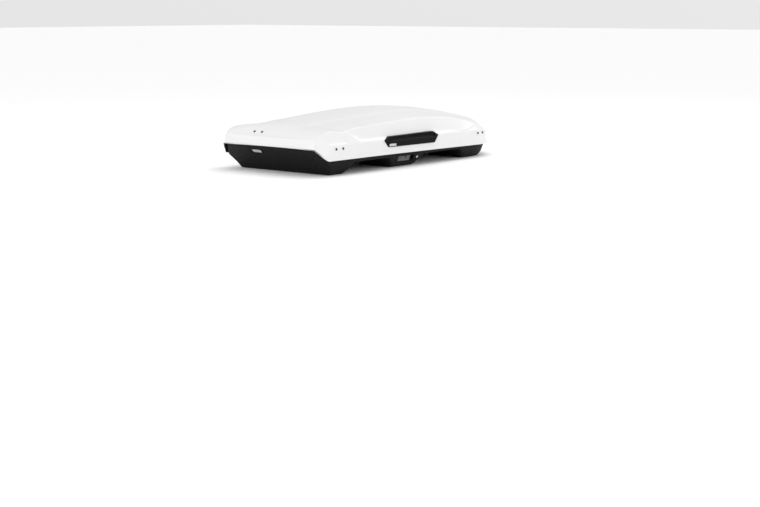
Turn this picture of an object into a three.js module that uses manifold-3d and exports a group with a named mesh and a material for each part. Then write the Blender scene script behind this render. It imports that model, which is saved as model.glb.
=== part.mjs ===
// Roof cargo box: a long, low hard-shell box that clamps onto a car's two crossbars.
// Millimetres, +X to the nose, +Y to the left, +Z up. The origin is the centre of the
// bounding box at the height of the flat bellies that the box rests on.
//
// The lid opens from either side. Two swing arms cross the box: they pivot on the tray at the
// left, and the lid pivots on them at the right. A sliding latch bar on each side carries three
// eyes, which slip over studs on the lid and lock it down.
import * as THREE from "three";
import { mergeVertices } from "three/addons/utils/BufferGeometryUtils.js";
import Module from "manifold-3d";

const wasm = await Module();
wasm.setup();

// ---------------------------------------------------------------- driving dimensions

const NOSE_X = 1050; // the nose, and minus this the rear edge
const HALF_WIDTH = 455; // the lid's lower edge along the straight sides
const REAR_CORNER = { x: -1041, y: 395, sideX: -967 }; // the cut-off rear corners
const NOSE_CORNER = { x: 820, y: 410 }; // where the side turns into the nose
const NOSE_POWER = 2.2; // how blunt the nose is in plan
const TAPER_START = 500; // the sides run in from here to the nose corner
const LID_WALL = 4;
const TRAY_WALL = 4;

const CROWN_Z = 372; // the lid's highest point, before the raised centre panel
const CROWN_FALL = {
  rear: { drop: 72, power: 1.55 },
  nose: { drop: 130.6, power: 1.87 },
}; // how far the crown has dropped a metre from its highest point
const CROWN_SAG = 0.0004; // the crown's fall to the sides, times the distance squared
const PANEL_HALF = 250; // half the centre panel's width, which narrows to the rear
const PANEL_REAR_HALF = 172;
const PANEL_STEP = 5; // how far the centre panel stands up
const PANEL_STEP_RUN = 14;
const WALL_TOP_Z = 203; // where the lid's upright side wall ends
const WALL_DRAFT = 9; // how far that wall leans in
const REAR_WALL_TOP_Z = 236;
const NOSE_WALL_TOP_Z = 180;
const SIDE_SLOPE = 1.55; // the side panels' rise per millimetre in, which eases to the nose
const NOSE_SLOPE = 0.78;
const SHOULDER_SLOPE = 0.34;
const REAR_SLOPE = 0.62;
const ARCH = [
  [-1050, 245],
  [-888, 283],
  [-776, 270],
  [-680, 280],
  [-510, 291],
  [-342, 300],
  [-160, 307],
  [17, 310],
  [130, 308],
  [231, 304],
  [320, 297],
  [397, 289],
  [480, 278],
  [568, 262],
  [672, 237],
  [820, 202],
]; // x and height of the arched line where a side panel meets the shoulder
const SKIRT_Z = 99; // the lid's lower edge along the sides, at the rear
const REAR_SKIRT_Z = 176; // and across the rear

const SKIRT_BOW = 3.6e-6; // how the skirt's edge drops to the nose
const REAR_STEP = 1.05; // and its rise per millimetre round the rear corners

const TRAY_INSET = 17; // the tray's rim inside the lid's lower edge
const NOSE_INSET = 25;
const LIP_HEIGHT = 16; // the tray's upright lip inside the lid
const CHANNEL_Z = 72; // the ceiling of the two crossbar channels
const REAR_BAR_X = -490;
const FRONT_BAR_X = 260;

const AXIS_Y = 420; // the two hinge lines run along X at plus and minus this
const AXIS_Z = 110;
const STUD_R = 4;
const EYE_BORE_R = 4.6;
const EYE_R = 8;
const STUD_X = { rear: -838, middle: -118, front: 600 };
const LATCH_TRAVEL = 28;

const CLAMP_Y = 250;
const CLAMP_TRAVEL = 70; // each way along the slot
const SLOT_HALF_LENGTH = CLAMP_TRAVEL + 68; // with room for the open jaws
const SLOT_HALF_WIDTH = 13;

const KEY = { x: -23, z: 55, r: 6 };
const HOUSING = { x0: -234, x1: -9, z0: 33, z1: 77, backY: 402 };
const PEG = { x: -162, z: 55 }; // the lever's peg, which carries the latch bar
const POCKET = { x0: -230, x1: -66, z0: 37, z1: 73, backY: 405 };

const GLOSS_WHITE = [0xececec, 0.2, 0];
const TRAY_BLACK = [0x1e1e1f, 0.6, 0];
const TRIM_BLACK = [0x18181a, 0.45, 0];
const LEVER_GREY = [0x5a5a5e, 0.4, 0];
const STEEL = [0xa8abb0, 0.35, 1];
const ALUMINIUM = [0xb9bcc0, 0.4, 1];
const BADGE_GREY = [0xc9cacc, 0.35, 0];

// ---------------------------------------------------------------- small helpers

const clamp01 = (t) => Math.min(1, Math.max(0, t));
const ramp = (from, to, x) => clamp01((x - from) / (to - from));
const smooth = (from, to, x) => {
  const t = ramp(from, to, x);
  return t * t * (3 - 2 * t);
};

// A value between the points [x, value] of a broken line.
function along(points, x) {
  const last = points.length - 1;
  if (x <= points[0][0]) return points[0][1];
  if (x >= points[last][0]) return points[last][1];
  const i = points.findIndex((p) => p[0] > x);
  const [x0, v0] = points[i - 1];
  const [x1, v1] = points[i];
  return v0 + ((v1 - v0) * (x - x0)) / (x1 - x0);
}

// A three.js geometry as a solid that can be joined and cut.
function solid(geometry) {
  const bare = geometry.index ? geometry.toNonIndexed() : geometry.clone();
  bare.deleteAttribute("normal");
  bare.deleteAttribute("uv");
  const merged = mergeVertices(bare, 1e-4);
  return new wasm.Manifold(
    new wasm.Mesh({
      numProp: 3,
      vertProperties: merged.attributes.position.array,
      triVerts: new Uint32Array(merged.index.array),
    }),
  );
}

function geometryOf(made) {
  const mesh = made.getMesh();
  const geometry = new THREE.BufferGeometry();
  geometry.setAttribute("position", new THREE.BufferAttribute(mesh.vertProperties, 3));
  geometry.setIndex(new THREE.BufferAttribute(mesh.triVerts, 1));
  geometry.computeVertexNormals();
  return geometry;
}

const join = (solids) => solids.reduce((a, b) => a.add(b));

function shapeOf(points, holes = []) {
  const shape = new THREE.Shape(points.map(([a, b]) => new THREE.Vector2(a, b)));
  shape.holes = holes.map(
    (hole) => new THREE.Path(hole.map(([a, b]) => new THREE.Vector2(a, b))),
  );
  return shape;
}

function extrude(points, depth, holes) {
  return new THREE.ExtrudeGeometry(shapeOf(points, holes), {
    depth,
    bevelEnabled: false,
    curveSegments: 1,
  });
}

// Prisms along each axis: outlines are (y, z), (x, z) and (x, y).
const TO_X = new THREE.Matrix4().set(0, 0, 1, 0, 1, 0, 0, 0, 0, 1, 0, 0, 0, 0, 0, 1);
const TO_Y = new THREE.Matrix4().set(1, 0, 0, 0, 0, 0, -1, 0, 0, 1, 0, 0, 0, 0, 0, 1);

function prismX(outline, x0, x1, holes) {
  return solid(extrude(outline, x1 - x0, holes).applyMatrix4(TO_X).translate(x0, 0, 0));
}

function prismY(outline, y0, y1, holes) {
  return solid(extrude(outline, y1 - y0, holes).applyMatrix4(TO_Y).translate(0, y1, 0));
}

function prismZ(outline, z0, z1, holes) {
  return solid(extrude(outline, z1 - z0, holes).translate(0, 0, z0));
}

function box(x0, x1, y0, y1, z0, z1) {
  const geometry = new THREE.BoxGeometry(x1 - x0, y1 - y0, z1 - z0);
  return solid(geometry.translate((x0 + x1) / 2, (y0 + y1) / 2, (z0 + z1) / 2));
}

const rectangle = (a0, a1, b0, b1) => [
  [a0, b0],
  [a1, b0],
  [a1, b1],
  [a0, b1],
];

function circle(a, b, radius, sides) {
  return Array.from({ length: sides }, (_, i) => {
    const angle = ((i + 0.5) * 2 * Math.PI) / sides;
    return [a + radius * Math.cos(angle), b + radius * Math.sin(angle)];
  });
}

const rodX = (y, z, radius, x0, x1, sides = 12) =>
  prismX(circle(y, z, radius, sides), x0, x1);
const rodY = (x, z, radius, y0, y1, sides = 12) =>
  prismY(circle(x, z, radius, sides), y0, y1);

// An outline given for the left side, turned to the side asked for.
const onSide = (side, outline) => outline.map(([y, z]) => [side * y, z]);

// A box given by its distances out from the middle plane, on the side asked for.
const boxOnSide = (side, x0, x1, y0, y1, z0, z1) =>
  side > 0 ? box(x0, x1, y0, y1, z0, z1) : box(x0, x1, -y1, -y0, z0, z1);

function material([color, roughness, metalness]) {
  return new THREE.MeshStandardMaterial({ color, roughness, metalness });
}

const model = new THREE.Group();

function addPart(name, shape, finish, parent = model) {
  const geometry = shape.isBufferGeometry ? shape : geometryOf(shape);
  const mesh = new THREE.Mesh(geometry, material(finish));
  mesh.name = name;
  parent.add(mesh);
  return mesh;
}

// ---------------------------------------------------------------- plan outline

// Half the width of the lid's lower edge at x, with the cut-off rear corner.
function halfWidth(x) {
  const taper = Math.max(0, (x - TAPER_START) / (NOSE_CORNER.x - TAPER_START));
  const front = HALF_WIDTH - (HALF_WIDTH - NOSE_CORNER.y) * taper ** 4;
  const cut = ramp(REAR_CORNER.x, REAR_CORNER.sideX, x);
  return Math.min(front, REAR_CORNER.y + (HALF_WIDTH - REAR_CORNER.y) * cut);
}

// The rear edge and the nose edge, at v from -1 (right) to 1 (left).
const rearEdge = (v) => -NOSE_X + (NOSE_X + REAR_CORNER.x) * v * v;
const noseEdge = (v) => NOSE_X - (NOSE_X - NOSE_CORNER.x) * Math.abs(v) ** NOSE_POWER;

const STRAIGHT = { from: -890, to: 600 }; // between these, rows of the grid keep their x

// A point of the plan grid: x along the side, v across, moved in by an inset.
function planPoint(sideX, v, inset, noseInset = inset) {
  let x = sideX;
  if (sideX > STRAIGHT.to) {
    const t = (sideX - STRAIGHT.to) / (NOSE_CORNER.x - STRAIGHT.to);
    x = STRAIGHT.to + (noseEdge(v) - noseInset - STRAIGHT.to) * t;
  }
  if (sideX < STRAIGHT.from) {
    const t = (sideX - STRAIGHT.from) / (REAR_CORNER.x - STRAIGHT.from);
    x = STRAIGHT.from + (rearEdge(v) + inset - STRAIGHT.from) * t;
  }
  return [x, v * (halfWidth(sideX) - inset)];
}

// The height of the lid's lower edge: level along the sides, stepping up round the rear corner.
function skirtZ(x) {
  const side = SKIRT_Z - SKIRT_BOW * (x - REAR_CORNER.sideX) ** 2 - 6 * smooth(760, 900, x);
  const rear = REAR_SKIRT_Z - REAR_STEP * (x - REAR_CORNER.x);
  return Math.max(side, Math.min(REAR_SKIRT_Z, rear));
}

// ---------------------------------------------------------------- sheets and shells

// A sheet of points (rows of columns) goes down at its border through the given rings,
// and is made into a closed shell of even thickness on the side away from its normals.
function shell(rows, rings, thickness, outward) {
  const columns = rows[0].length;
  const last = rows.length - 1;
  const border = [];
  for (let j = 0; j < columns; j += 1) border.push([0, j]);
  for (let i = 1; i <= last; i += 1) border.push([i, columns - 1]);
  for (let j = columns - 2; j >= 0; j -= 1) border.push([last, j]);
  for (let i = last - 1; i > 0; i -= 1) border.push([i, 0]);

  const points = rows.flat();
  const triangles = [];
  const quad = (a, b, c, d) => triangles.push([a, b, c], [a, c, d]);
  for (let i = 0; i < last; i += 1) {
    for (let j = 0; j < columns - 1; j += 1) {
      const a = i * columns + j;
      quad(a, a + columns, a + columns + 1, a + 1);
    }
  }
  let ring = border.map(([i, j]) => i * columns + j);
  for (const place of rings) {
    const next = border.map(([i, j]) => points.push(place(i, j)) - 1);
    ring.forEach((a, k) => {
      const n = (k + 1) % ring.length;
      quad(a, ring[n], next[n], next[k]);
    });
    ring = next;
  }

  const normals = sheetNormals(points, triangles);
  const count = points.length;
  const inner = points.map((p, i) => {
    const n = normals[i];
    return p.map((value, k) => value - outward * thickness * n[k]);
  });
  const back = triangles.map(([a, b, c]) => [a + count, c + count, b + count]);
  const edge = ring.flatMap((a, k) => {
    const n = ring[(k + 1) % ring.length];
    return [
      [a, n, n + count],
      [a, n + count, a + count],
    ];
  });
  const all = [...triangles, ...back, ...edge];
  if (outward < 0) all.forEach((t) => t.reverse());
  const geometry = new THREE.BufferGeometry();
  const flat = new Float32Array([...points, ...inner].flat());
  geometry.setAttribute("position", new THREE.BufferAttribute(flat, 3));
  geometry.setIndex(all.flat());
  return solid(geometry);
}

function sheetNormals(points, triangles) {
  const geometry = new THREE.BufferGeometry();
  const flat = new Float32Array(points.flat());
  geometry.setAttribute("position", new THREE.BufferAttribute(flat, 3));
  geometry.setIndex(triangles.flat());
  geometry.computeVertexNormals();
  const normal = geometry.getAttribute("normal");
  return points.map((_, i) => [normal.getX(i), normal.getY(i), normal.getZ(i)]);
}

const mirrored = (half) => [...half.slice(1).reverse().map((v) => -v), ...half];

// ---------------------------------------------------------------- lid

// The centre panel and crown, which fall to both ends and gently to the sides.
function crownZ(x, y) {
  const { drop, power } = x < 0 ? CROWN_FALL.rear : CROWN_FALL.nose;
  const fall = drop * Math.abs(x / 1000) ** power + CROWN_SAG * y * y;
  const narrowing = (PANEL_HALF - PANEL_REAR_HALF) * ramp(-100, -983, x) ** 2;
  const inside = PANEL_HALF - narrowing - Math.abs(y);
  return CROWN_Z - fall + PANEL_STEP * smooth(0, PANEL_STEP_RUN, inside);
}

const wallTopZ = (x) =>
  WALL_TOP_Z +
  (REAR_WALL_TOP_Z - WALL_TOP_Z) * ramp(REAR_CORNER.sideX, REAR_CORNER.x, x) -
  (WALL_TOP_Z - NOSE_WALL_TOP_Z) * smooth(600, 900, x);

// How far a plan point lies inside the lid's lower edge, measured square to the nearest side.
function insideBy(x, y) {
  const side = halfWidth(x) - Math.abs(y);
  const v = Math.min(1, Math.abs(y) / NOSE_CORNER.y);
  const lean = ((NOSE_X - NOSE_CORNER.x) * NOSE_POWER * v ** (NOSE_POWER - 1)) / NOSE_CORNER.y;
  const nose = (noseEdge(v) - x) / Math.hypot(1, lean);
  return Math.max(WALL_DRAFT, Math.min(side, nose));
}

// The lid's upper surface: the lowest of the crown, shoulder, side panel and rear slope.
function lidZ(x, y) {
  const sideSlope = SIDE_SLOPE - (SIDE_SLOPE - NOSE_SLOPE) * smooth(450, 900, x);
  const side = wallTopZ(x) + sideSlope * (insideBy(x, y) - WALL_DRAFT);
  const arch = along(ARCH, x);
  const archY = HALF_WIDTH - WALL_DRAFT - (arch - WALL_TOP_Z) / SIDE_SLOPE;
  const shoulder = arch + SHOULDER_SLOPE * (archY - Math.abs(y));
  const rear = REAR_WALL_TOP_Z + REAR_SLOPE * Math.max(0, x + NOSE_X - WALL_DRAFT);
  return Math.min(crownZ(x, y), side, shoulder, rear);
}

const LID_ROWS = [
  -1041, -1020, -995, -967, -930, -890, -835, -776, -700, -600, -480, -350, -200, -50, 100,
  250, 380, 480, 560, 600, 640, 685, 725, 765, 795, 820,
];
const LID_COLUMNS = mirrored([0, 0.28, 0.5, 0.56, 0.7, 0.83, 0.87, 0.93, 0.97, 1]);

function lidShell() {
  const rows = LID_ROWS.map((sideX) =>
    LID_COLUMNS.map((v) => {
      const [x, y] = planPoint(sideX, v, WALL_DRAFT);
      const border = Math.abs(v) === 1 || sideX === LID_ROWS[0] || sideX === LID_ROWS.at(-1);
      return [x, y, border ? wallTopZ(x) : lidZ(x, y)];
    }),
  );
  const skirt = (i, j) => {
    const [x, y] = planPoint(LID_ROWS[i], LID_COLUMNS[j], 0);
    return [x, y, skirtZ(x)];
  };
  return shell(rows, [skirt], LID_WALL, 1);
}

// ---------------------------------------------------------------- tray

const REAR_FACE = [
  [-1036, 171],
  [-905, 34],
  [-888, 0],
];
const FACE = { run: 28, foot: 0.34 };
const SIDE_FACE = [
  [0, 1],
  [FACE.run, FACE.foot],
  [60, 0],
]; // distance in from the rim, share of the rim's height
const CHANNELS = [
  [-760, 0],
  [-670, CHANNEL_Z],
  [-330, CHANNEL_Z],
  [-255, 0],
  [-41, 0],
  [60, CHANNEL_Z],
  [460, CHANNEL_Z],
  [560, 0],
  [748, 0],
  [1010, 80],
]; // the underside along the middle: bellies at 0, crossbar channels, the rising nose

const rimZ = (x) => Math.max(skirtZ(x), along(REAR_FACE, x));

function trayZ(x, y) {
  const side = halfWidth(x) - TRAY_INSET - Math.abs(y);
  const v = Math.min(1, Math.abs(y) / NOSE_CORNER.y);
  const nose = 0.8 * (noseEdge(v) - NOSE_INSET - x); // the nose face is a little steeper
  const inside = Math.max(0, Math.min(side, nose));
  const sideFace = SKIRT_Z * along(SIDE_FACE, inside);
  return Math.max(sideFace, along(REAR_FACE, x), along(CHANNELS, x));
}

const TRAY_ROWS = [
  -1041, -1008, -967, -935, -905, -888, -760, -715, -670, -500, -330, -292, -255, -150, -41,
  10, 60, 260, 460, 510, 560, 600, 640, 680, 720, 760, 792, 820,
];
const TRAY_COLUMNS = mirrored([0, 0.35, 0.65, 0.863, 0.9, 0.936, 0.968, 1]);

function trayShell() {
  const rows = TRAY_ROWS.map((sideX) =>
    TRAY_COLUMNS.map((v) => {
      const [x, y] = planPoint(sideX, v, TRAY_INSET, NOSE_INSET);
      const border = Math.abs(v) === 1 || sideX === TRAY_ROWS[0] || sideX === TRAY_ROWS.at(-1);
      return [x, y, border ? rimZ(x) : trayZ(x, y)];
    }),
  );
  const lip = (i, j) => {
    const [x, y] = planPoint(TRAY_ROWS[i], TRAY_COLUMNS[j], TRAY_INSET, NOSE_INSET);
    return [x, y, rimZ(x) + LIP_HEIGHT];
  };
  return shell(rows, [lip], TRAY_WALL, -1);
}

// The tray with its lip notched for the stud brackets, its floor slotted for the clamps and
// its sides opened for the lock housings.
function tray() {
  let made = trayShell();
  for (const side of [1, -1]) {
    for (const x of Object.values(STUD_X)) {
      made = made.subtract(boxOnSide(side, x - 13, x + 13, 425, 445, 100, 140));
    }
    const window = [HOUSING.x0 - 1, HOUSING.x1 + 1, 395, 445, HOUSING.z0 - 1, HOUSING.z1 + 1];
    made = made.subtract(boxOnSide(side, ...window));
    for (const x of [REAR_BAR_X, FRONT_BAR_X]) {
      const y = side * CLAMP_Y;
      const slot = [x - SLOT_HALF_LENGTH, x + SLOT_HALF_LENGTH];
      made = made.subtract(
        box(...slot, y - SLOT_HALF_WIDTH, y + SLOT_HALF_WIDTH, CHANNEL_Z - 10, CHANNEL_Z + 20),
      );
    }
  }
  return made;
}

// How far out the tray's outer side face is at height z, on the straight stretch.
const trayFaceY = (z) => {
  const rim = HALF_WIDTH - TRAY_INSET;
  return rim - (FACE.run * (SKIRT_Z - z)) / (SKIRT_Z * (1 - FACE.foot));
};

// ---------------------------------------------------------------- hinges and latches

const lidWallY = (z) =>
  HALF_WIDTH - (WALL_DRAFT * (z - SKIRT_Z)) / (WALL_TOP_Z - SKIRT_Z);

// A lid bracket, rivetted inside the lid's wall, with its stud along the hinge line.
// The stud runs to the rear for the latch's eye, and on the right to the front for an arm.
function lidStud(side, x, carriesArm) {
  const gap = LID_WALL + 1.4;
  const plate = [
    [lidWallY(162) - gap, 162],
    [lidWallY(128) - gap, 128],
    [AXIS_Y + 8, AXIS_Z - 2],
    [AXIS_Y, AXIS_Z - EYE_R],
    [AXIS_Y - EYE_R, AXIS_Z],
    [AXIS_Y - 3, AXIS_Z + 7.5],
    [lidWallY(138) - gap - 4, 138],
    [lidWallY(162) - gap - 4, 162],
  ];
  const front = carriesArm ? x + 38 : x + 9;
  return join([
    prismX(onSide(side, plate), x - 10, x + 10),
    rodX(side * AXIS_Y, AXIS_Z, STUD_R, x - 38, front),
  ]);
}

// An arm's eye: a ring round the hinge line.
const eye = (y, x0, x1) =>
  prismX(circle(y, AXIS_Z, EYE_R, 16), x0, x1, [circle(y, AXIS_Z, EYE_BORE_R, 12)]);

// A swing arm: a flat bar across the box with an eye at each end.
function swingArm(studX) {
  const x0 = studX + 14;
  const x1 = studX + 34;
  const end = AXIS_Y - EYE_R + 1;
  const bar = box(x0 + 2, x1 - 2, -end, end, AXIS_Z - 4, AXIS_Z + 4);
  return join([bar, eye(AXIS_Y, x0, x1), eye(-AXIS_Y, x0, x1)]);
}

// The bracket on the tray's left wall, with the pin that the arm turns on.
function armBracket(studX) {
  const x0 = studX + 60;
  const x1 = studX + 72;
  const lipY = halfWidth(x1) - TRAY_INSET - TRAY_WALL - 1.6;
  const footY = trayFaceY(62) - (HALF_WIDTH - halfWidth(x1)) - TRAY_WALL - 3;
  const plate = [
    [footY, 62],
    [lipY, 99],
    [lipY, 112],
    [AXIS_Y, AXIS_Z + 6],
    [AXIS_Y - 6, AXIS_Z],
    [AXIS_Y, AXIS_Z - 6],
    [lipY - 5, AXIS_Z - 7],
    [lipY - 5, 96],
    [footY - 5, 62],
  ];
  return join([prismX(plate, x0, x1), rodX(AXIS_Y, AXIS_Z, STUD_R, studX + 12, x0 + 1)]);
}

class Helix extends THREE.Curve {
  constructor(radius, pitch, turns) {
    super();
    Object.assign(this, { radius, pitch, turns });
  }

  getPoint(t, target = new THREE.Vector3()) {
    const angle = 2 * Math.PI * this.turns * t;
    const x = this.pitch * this.turns * t;
    return target.set(x, this.radius * Math.cos(angle), this.radius * Math.sin(angle));
  }
}

// The spring that helps lift the lid, coiled round the arm's pin.
function liftSpring(studX) {
  const wire = new THREE.Shape();
  wire.absarc(0, 0, 1.2, 0, 2 * Math.PI);
  const turns = 4;
  const geometry = new THREE.ExtrudeGeometry(wire, {
    steps: turns * 10,
    curveSegments: 5,
    bevelEnabled: false,
    extrudePath: new Helix(6.4, 4.2, turns),
  });
  return solid(geometry.translate(studX + 38.5, AXIS_Y, AXIS_Z));
}

// The latch bar: a flat bar below the hinge line, three eyes, and a tongue down to the lever.
function latchBar(side) {
  const y = side * AXIS_Y;
  const eyes = Object.values(STUD_X).map((x) => {
    const x0 = x - 60;
    const x1 = x - 42;
    const ring = eye(y, x0, x1);
    return join([ring, boxOnSide(side, x0, x1, AXIS_Y - 2, AXIS_Y + 2, 92, 103)]);
  });
  const bar = boxOnSide(side, STUD_X.rear - 62, STUD_X.front - 40, 418, 422, 86, 99);
  const tongue = [
    [421, 86],
    [421, 90],
    [394, 90],
    [394, 50],
    [398, 50],
    [398, 86],
  ];
  const plate = prismX(onSide(side, tongue), PEG.x - 10, PEG.x + 10);
  const hole = boxOnSide(side, PEG.x - 5.5, PEG.x + 5.5, 380, 400, PEG.z - 3, PEG.z + 3);
  return join([bar, plate, ...eyes]).subtract(hole);
}

function lockHousing(side) {
  const face = 0.6;
  const outer = [
    [HOUSING.backY, HOUSING.z0],
    [trayFaceY(HOUSING.z0) + face, HOUSING.z0],
    [trayFaceY(HOUSING.z1) + face, HOUSING.z1],
    [HOUSING.backY, HOUSING.z1],
  ];
  const body = prismX(onSide(side, outer), HOUSING.x0, HOUSING.x1);
  const pocket = [POCKET.x0, POCKET.x1, POCKET.backY, 445, POCKET.z0, POCKET.z1];
  const slot = [PEG.x - 8, PEG.x + 6 + LATCH_TRAVEL, 395, 410, PEG.z - 4, PEG.z + 4];
  const bore = rodY(KEY.x, KEY.z, KEY.r + 0.4, -450, 450, 16);
  return body
    .subtract(boxOnSide(side, ...pocket))
    .subtract(boxOnSide(side, ...slot))
    .subtract(bore);
}

// The sliding lever: two wings that a thumb pushes, a sunk middle and a peg to the latch bar.
function slideLever(side) {
  const x0 = POCKET.x0 + 3;
  const x1 = x0 + 125;
  const z0 = POCKET.z0 + 1;
  const z1 = POCKET.z1 - 1;
  const backY = POCKET.backY + 0.6;
  const outer = [
    [backY, z0],
    [trayFaceY(z0) - 0.5, z0],
    [trayFaceY(z1) - 2, z1],
    [backY, z1],
  ];
  const body = prismX(onSide(side, outer), x0, x1);
  const middle = boxOnSide(side, x0 + 44, x1 - 44, 413, 445, z0 - 1, z1 + 1);
  const [pegX0, pegX1] = [PEG.x - 4.5, PEG.x + 4.5];
  const peg = boxOnSide(side, pegX0, pegX1, 393, backY + 2, PEG.z - 2.3, PEG.z + 2.3);
  return body.subtract(middle).add(peg);
}

// The key cylinder, with a flat cam on its inner end that blocks the lever when turned.
function keyCylinder(side) {
  const face = trayFaceY(KEY.z) - 0.5;
  const [y0, y1] = side > 0 ? [396, face] : [-face, -396];
  const slotY = side > 0 ? face : -face;
  const barrel = rodY(KEY.x, KEY.z, KEY.r, y0, y1, 16);
  const [c0, c1] = side > 0 ? [396, 400] : [-400, -396];
  const cam = prismY(rectangle(KEY.x - 6, KEY.x + 6, KEY.z - 6, KEY.z + 16), c0, c1);
  const slot = box(KEY.x - 0.8, KEY.x + 0.8, slotY - 3, slotY + 3, KEY.z - 4, KEY.z + 4);
  return join([barrel, cam]).subtract(slot);
}

// ---------------------------------------------------------------- crossbar clamps
// Each clamp is drawn about its own crossbar: x and y from the clamp's middle, z as it stands.

const FLOOR_Z = CHANNEL_Z + TRAY_WALL;
const RAIL_Z = { from: FLOOR_Z + 0.5, to: FLOOR_Z + 4.5 };
const CLAMP_TOP_Z = 112;
const JAW_PIVOT = { x: 30, z: 88 };
const JAW_HALF = 8;

// The reinforcing rail round the slot, on the tray's floor.
const slideRail = () =>
  prismZ(rectangle(-158, 158, -32, 32), RAIL_Z.from, RAIL_Z.to, [
    rectangle(-SLOT_HALF_LENGTH, SLOT_HALF_LENGTH, -SLOT_HALF_WIDTH, SLOT_HALF_WIDTH),
  ]);

// The body slides on the rail. Its stem passes the slot to a foot on top of the crossbar.
function clampBody() {
  const low = RAIL_Z.to + 0.5;
  const top = box(-44, 44, -28, 28, 98, CLAMP_TOP_Z);
  const cheeks = [1, -1].map((side) => boxOnSide(side, -42, 42, 10, 28, low, 99));
  const stem = box(-12, 12, -9.5, 9.5, 70, 99);
  const foot = box(-34, 34, -20, 20, 68.3, CHANNEL_Z - 0.4);
  const pins = [1, -1].map((end) => rodY(end * JAW_PIVOT.x, JAW_PIVOT.z, 3, -11, 11));
  const spindleHole = prismZ(circle(0, 0, 5.5, 16), CLAMP_TOP_Z - 10, CLAMP_TOP_Z + 1);
  return join([top, ...cheeks, stem, foot, ...pins]).subtract(spindleHole);
}

// A jaw turns on a pin in the body and hooks down through the slot, round under the bar.
function clampJaw(end) {
  const outline = [
    [22, 86],
    [24, 94],
    [30, 96],
    [37, 93],
    [51, 82],
    [51, 30],
    [24, 30],
    [24, 36],
    [41, 36],
    [41, 74],
    [26, 81],
  ];
  const turned = outline.map(([x, z]) => [end * x, z]);
  const bore = circle(end * JAW_PIVOT.x, JAW_PIVOT.z, 3.4, 12);
  return prismY(turned, -JAW_HALF, JAW_HALF, [bore]);
}

// The knob: a round grip with six scallops on a short spindle.
function clampKnob() {
  const grip = Array.from({ length: 36 }, (_, i) => {
    const angle = (i * 2 * Math.PI) / 36;
    const radius = 26 + 2.5 * Math.cos(6 * angle);
    return [radius * Math.cos(angle), radius * Math.sin(angle)];
  });
  const spindle = prismZ(circle(0, 0, 5, 16), CLAMP_TOP_Z - 9, CLAMP_TOP_Z + 2);
  return join([prismZ(grip, CLAMP_TOP_Z + 0.8, CLAMP_TOP_Z + 24), spindle]);
}

function addClamp(name, x, y) {
  const group = new THREE.Group();
  group.position.set(x, y, 0);
  model.add(group);
  addPart(`${name}_slide_rail`, slideRail(), STEEL, group);
  addPart(`${name}_clamp_body`, clampBody(), TRIM_BLACK, group);
  addPart(`${name}_clamp_knob`, clampKnob(), LEVER_GREY, group);
  addPart(`${name}_front_jaw`, clampJaw(1), STEEL, group);
  addPart(`${name}_rear_jaw`, clampJaw(-1), STEEL, group);
}

// ---------------------------------------------------------------- trim

const HANDLE_OUT_Y = 459;

// A fixed grip on the lid's side: a long hexagon with a finger channel along its top.
function handle(side) {
  const outline = [
    [-409, 194],
    [-355, 216],
    [108, 221],
    [174, 193],
    [126, 143],
    [-370, 146],
  ];
  const lid = [
    [400, 90],
    [lidWallY(90) + 0.5, 90],
    [lidWallY(WALL_TOP_Z) + 0.5, WALL_TOP_Z],
    [lidWallY(WALL_TOP_Z) - 17, WALL_TOP_Z + 27],
    [400, 240],
  ];
  const [y0, y1] = side > 0 ? [425, HANDLE_OUT_Y] : [-HANDLE_OUT_Y, -425];
  const channel = [-338, 96, HANDLE_OUT_Y - 8, HANDLE_OUT_Y + 10, 190, 210];
  return prismY(outline, y0, y1)
    .subtract(prismX(onSide(side, lid), -450, 250))
    .subtract(boxOnSide(side, ...channel));
}

function handleBadge(side) {
  const y = HANDLE_OUT_Y + 0.3;
  return boxOnSide(side, -368, -298, y, y + 1, 151, 167);
}

// A pair of rivets: heads outside, shanks through the lid and a backing strip inside.
// Drawn about the middle of the pair with +Z out of the lid, and +X from one to the other.
const RIVET_SPAN = 66;

function rivetShape(radius, sides, low, high) {
  return [1, -1].map((end) => prismZ(circle((end * RIVET_SPAN) / 2, 0, radius, sides), low, high));
}

const rivetPair = () =>
  join([
    ...rivetShape(7.5, 12, 0.5, 2.8),
    ...rivetShape(3, 8, -LID_WALL - 6, 1),
    box(-RIVET_SPAN / 2 - 6, RIVET_SPAN / 2 + 6, -7, 7, -LID_WALL - 7.6, -LID_WALL - 5.6),
  ]);

// Where the pairs sit: a point on the lid's outer surface, the run of the pair, and outwards.
const REAR_RIVETS = { x: -1004, y: 116 };

function rivetPlaces() {
  const z = 171.5;
  const sides = [
    ["left_rear", -856, 1],
    ["right_rear", -856, -1],
    ["left_front", 680, 1],
    ["right_front", 680, -1],
  ].map(([name, x, side]) => {
    const turnIn = (halfWidth(x + 5) - halfWidth(x - 5)) / 10;
    const run = new THREE.Vector3(1, side * turnIn, 0).normalize();
    const wall = new THREE.Vector3(0, -side * WALL_DRAFT, wallTopZ(x) - skirtZ(x));
    const out = new THREE.Vector3().crossVectors(wall, run).multiplyScalar(side).normalize();
    const leanIn = (WALL_DRAFT * (z - skirtZ(x))) / (wallTopZ(x) - skirtZ(x));
    const at = new THREE.Vector3(x, side * (halfWidth(x) - leanIn), z);
    return { name, at, run, out };
  });
  const { x, y } = REAR_RIVETS;
  const rear = {
    name: "rear",
    at: new THREE.Vector3(x, y, lidZ(x, y)),
    run: new THREE.Vector3(0, 1, 0),
    out: new THREE.Vector3(-REAR_SLOPE, 0, 1).normalize(),
  };
  return [...sides, rear];
}

function rivetMatrix({ at, run, out }) {
  const across = new THREE.Vector3().crossVectors(out, run);
  return new THREE.Matrix4().makeBasis(run, across, out).setPosition(at);
}

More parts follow.
